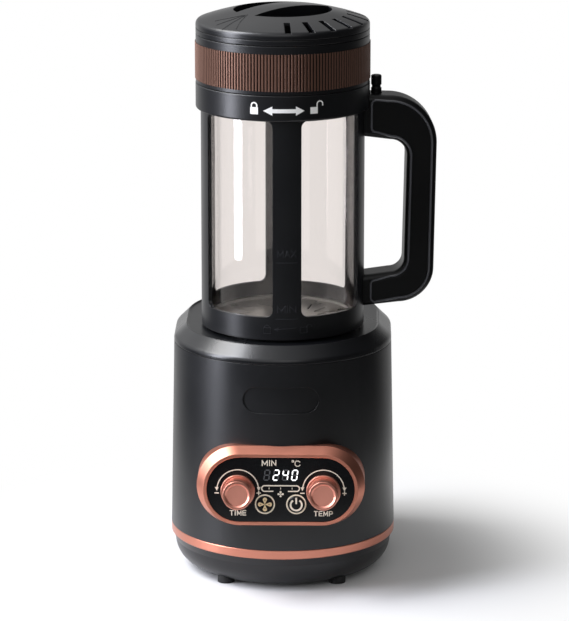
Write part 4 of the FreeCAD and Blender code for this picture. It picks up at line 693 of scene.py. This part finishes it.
def padlock(left, low, width, height, bow, thick, swing=0.0, rise=0.0):
    """A padlock's body and its bow, which may stand to one side."""
    middle = left + width / 2 + swing
    top = low + height + rise
    seat = low + height * 0.9
    legs = [(middle - bow, seat)] + arc(middle, top + bow * 0.6, bow, 180, 0, 14)
    legs.append((middle + bow, top if swing else seat))
    return box_of(left, low, left + width, low + height) + line(legs, thick)


# pad-printing ink: flat white, the brightest print on the roaster
white_ink = inked("white_pad_ink", "#f4f4f2")
signs = padlock(-22.8, 338.5, 5.6, 4.9, 1.95, 0.95)
signs.append([(-13.5, 341.1), (-7.1, 344.3), (-7.1, 342.45), (9.1, 342.45), (9.1, 344.3),
              (15.2, 341.1), (9.1, 337.9), (9.1, 339.7), (-7.1, 339.7), (-7.1, 337.9)])
signs += padlock(19.3, 338.7, 5.4, 4.6, 2.1, 0.85, swing=4.3, rise=0.6)
relief("lock_signs", signs, round_the_jug(COLLAR_RADIUS), INK, white_ink, "jug",
       pitch=1.0)

# ---- handle ----
# Two ABS halves are screwed together round a core, with plates let into both sides.  The
# sprung pin on top frees the base when the jug and its lid are locked.
# smooth-moulded black ABS: hardly any shine on its faces, so it reads blacker than the base
handle_abs = moulded("smooth_moulded_abs", "#08090a", 0.4, 1.4, specular=0.25, edge=0.5)
dress(handle_abs, "handle_core", "handle_cheeks", "interlock_pin")

# ---- handle beads ----
# A narrow ridge with steep flanks is moulded on each half of the handle, a little inside
# its edge, and frames the plate that is let in there.
HANDLE_HEADING = math.radians(4.0)
HANDLE_SIDE = 12.5
HANDLE_ROOT = 61.6
HANDLE_TOP, HANDLE_LOW = 342.8, 190.4
GAP_TOP, GAP_LOW = 313.6, 212.6
HANDLE_SLOPE = 3.0
# place along the handle and radius of its four large bends, and radius of its small corners
TOP_BEND, LOW_BEND = (73.9, 34.0), (81.4, 25.0)
GAP_TOP_BEND, GAP_LOW_BEND = (75.2, 11.5), (75.7, 9.5)
CORNER = 3.0
BEAD_OUTSIDE = 3.7
BEAD_AT_GAP = 2.9
BEAD_PROFILE = ((-0.8, -0.05), (-0.35, 0.8), (0.35, 0.8), (0.8, -0.05))


def bead_path(inset, at_gap):
    """The handle's side view, set in outside and at its gap, as a closed path."""
    top, low = HANDLE_TOP - inset, HANDLE_LOW + inset
    gap_top, gap_low = GAP_TOP + at_gap, GAP_LOW - at_gap
    root = HANDLE_ROOT + CORNER
    (top_x, top_r), (low_x, low_r) = TOP_BEND, LOW_BEND
    (gap_top_x, gap_top_r), (gap_low_x, gap_low_r) = GAP_TOP_BEND, GAP_LOW_BEND
    path = arc(root, top - CORNER, CORNER, 180, 90, 6)
    path += arc(top_x, top - HANDLE_SLOPE / 4 - top_r + inset, top_r - inset, 90, 0, 20)
    path += arc(low_x, low + HANDLE_SLOPE + low_r - inset, low_r - inset, 0, -90, 20)
    path += arc(root, low + CORNER, CORNER, 270, 180, 6)
    path += arc(root, gap_low - CORNER, CORNER, 180, 90, 6)
    path += arc(gap_low_x, gap_low + HANDLE_SLOPE + gap_low_r + at_gap, gap_low_r + at_gap,
                -90, 0, 12)
    path += arc(gap_top_x, gap_top - HANDLE_SLOPE - gap_top_r - at_gap, gap_top_r + at_gap,
                0, 90, 12)
    return path + arc(root, gap_top + CORNER, CORNER, 270, 180, 6)


form = bmesh.new()
path = bead_path(BEAD_OUTSIDE, BEAD_AT_GAP)
outwards, round_it = math.cos(HANDLE_HEADING), math.sin(HANDLE_HEADING)
for side in (-1, 1):
    rings = []
    for (x0, z0), (x, z), (x1, z1) in zip(path[-1:] + path[:-1], path, path[1:] + path[:1]):
        length = math.hypot(x1 - x0, z1 - z0)
        ring = []
        for across, out in BEAD_PROFILE:
            u = x + across * (z1 - z0) / length
            w = z - across * (x1 - x0) / length
            v = side * (HANDLE_SIDE + out)
            ring.append(form.verts.new(Vector((u * outwards - v * round_it,
                                               u * round_it + v * outwards, w)) * MM))
        rings.append(ring)
    for a, b in zip(rings, rings[1:] + rings[:1]):
        for k in range(len(a)):
            form.faces.new([a[k], a[k - 1], b[k - 1], b[k]])
# the ridge's black ABS is drawn light grey as a painted highlight, so it reads as a fine grey line
# round the black plate
ridge_highlight_abs = moulded("painted_highlight_ridge_abs", "#505156", 0.22, 0.6, specular=0.9, edge=0.1)
beads = solid(form, "handle_beads", ridge_highlight_abs)
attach(beads, "jug")


# ---- lid ----
# Moulded housing with a knurled sleeve, turned from aluminium and anodised brown, and a
# black rim above it.
dress(satin_abs, "lid_housing", "lid_rim")
RIB_CREST = 61.4
RIB_DEPTH = 0.7

sleeve = finish("brown_anodised_aluminium")
# brown anodising with painted light: the crests of the ribs are painted paler as a highlight, and
# the valleys nearly black as painted shade
spot = node(sleeve, "TexCoord")
flat = node(sleeve, "VectorMath", {0: (spot, "Object"), 1: (1.0, 1.0, 0.0)},
            operation="MULTIPLY")
far = node(sleeve, "VectorMath", {0: (flat, 0)}, operation="LENGTH")
crest_light_valley_shade = node(sleeve, "MapRange", {"Value": (far, "Value"),
                                  "From Min": (RIB_CREST - RIB_DEPTH * 0.65) * MM,
                                  "From Max": (RIB_CREST - RIB_DEPTH * 0.1) * MM})
worn = node(sleeve, "TexNoise", {"Vector": (spot, "Object"), "Scale": 1 / (3 * MM),
                                 "Detail": 3.0})
# painted light: a paler painted highlight on the rib crests and near-black painted shade in the
# valleys
tone = node(sleeve, "Mix", {0: (crest_light_valley_shade, 0), 6: linear("#100806"), 7: linear("#6d4f42")},
            data_type="RGBA")
dull = node(sleeve, "MapRange", {"Value": (worn, "Fac"), "To Min": 0.42, "To Max": 0.55})
rounded = node(sleeve, "Bevel", {"Radius": 0.15 * MM}, samples=4)
pits = node(sleeve, "Bump", {"Height": (worn, "Fac"), "Normal": (rounded, 0),
                             "Strength": 0.06, "Distance": 0.05 * MM})
skin = node(sleeve, "BsdfPrincipled", {"Base Color": (tone, 2), "Metallic": 0.6,
                                       "Roughness": (dull, 0), "Normal": (pits, 0)})
node(sleeve, "OutputMaterial", {"Surface": (skin, 0)})
dress(sleeve, "lid_sleeve")

# ---- cap ----
# Domed ABS cap with a bar to grip, slanting slots for the smoke, and thin lines cast into
# its left side like a leaf.
LID_RADIUS = 60.9
DOME_SLOPE = math.radians(19.5)
CAP_ROUND = 3.2
CAP_EDGE = 395.2
LEAF_TIP = (-23.9, -24.7)
LEAF_ENDS = ((-31.1, -48.4), (-40.8, -44.5), (-45.0, -34.0), (-46.4, -24.4))
LEAF_BEND = 1.2
# the same ABS with wider soft edges, which draw light lines along the slots
soft_abs = moulded("soft_edged_abs", BLACK_ABS, 0.32, 0.55, edge=0.9)
dress(soft_abs, "lid_cap")


def on_dome(x, y, out):
    """A place on the cap's dome, above (x, y)."""
    edge = LID_RADIUS - CAP_ROUND * (1 - math.sin(DOME_SLOPE))
    bend = edge / math.sin(DOME_SLOPE)
    centre = CAP_EDGE - bend * math.cos(DOME_SLOPE)
    return Vector((x, y, centre + math.sqrt(bend ** 2 - x * x - y * y) + out)) * MM


leaf = []
for far_end in LEAF_ENDS:
    middle = tuple((a + b) / 2 - LEAF_BEND for a, b in zip(LEAF_TIP, far_end))
    leaf += line([LEAF_TIP, middle, far_end], 0.5)
relief("cap_leaf", leaf, on_dome, 0.15, satin_abs, "cap", pitch=2.0)
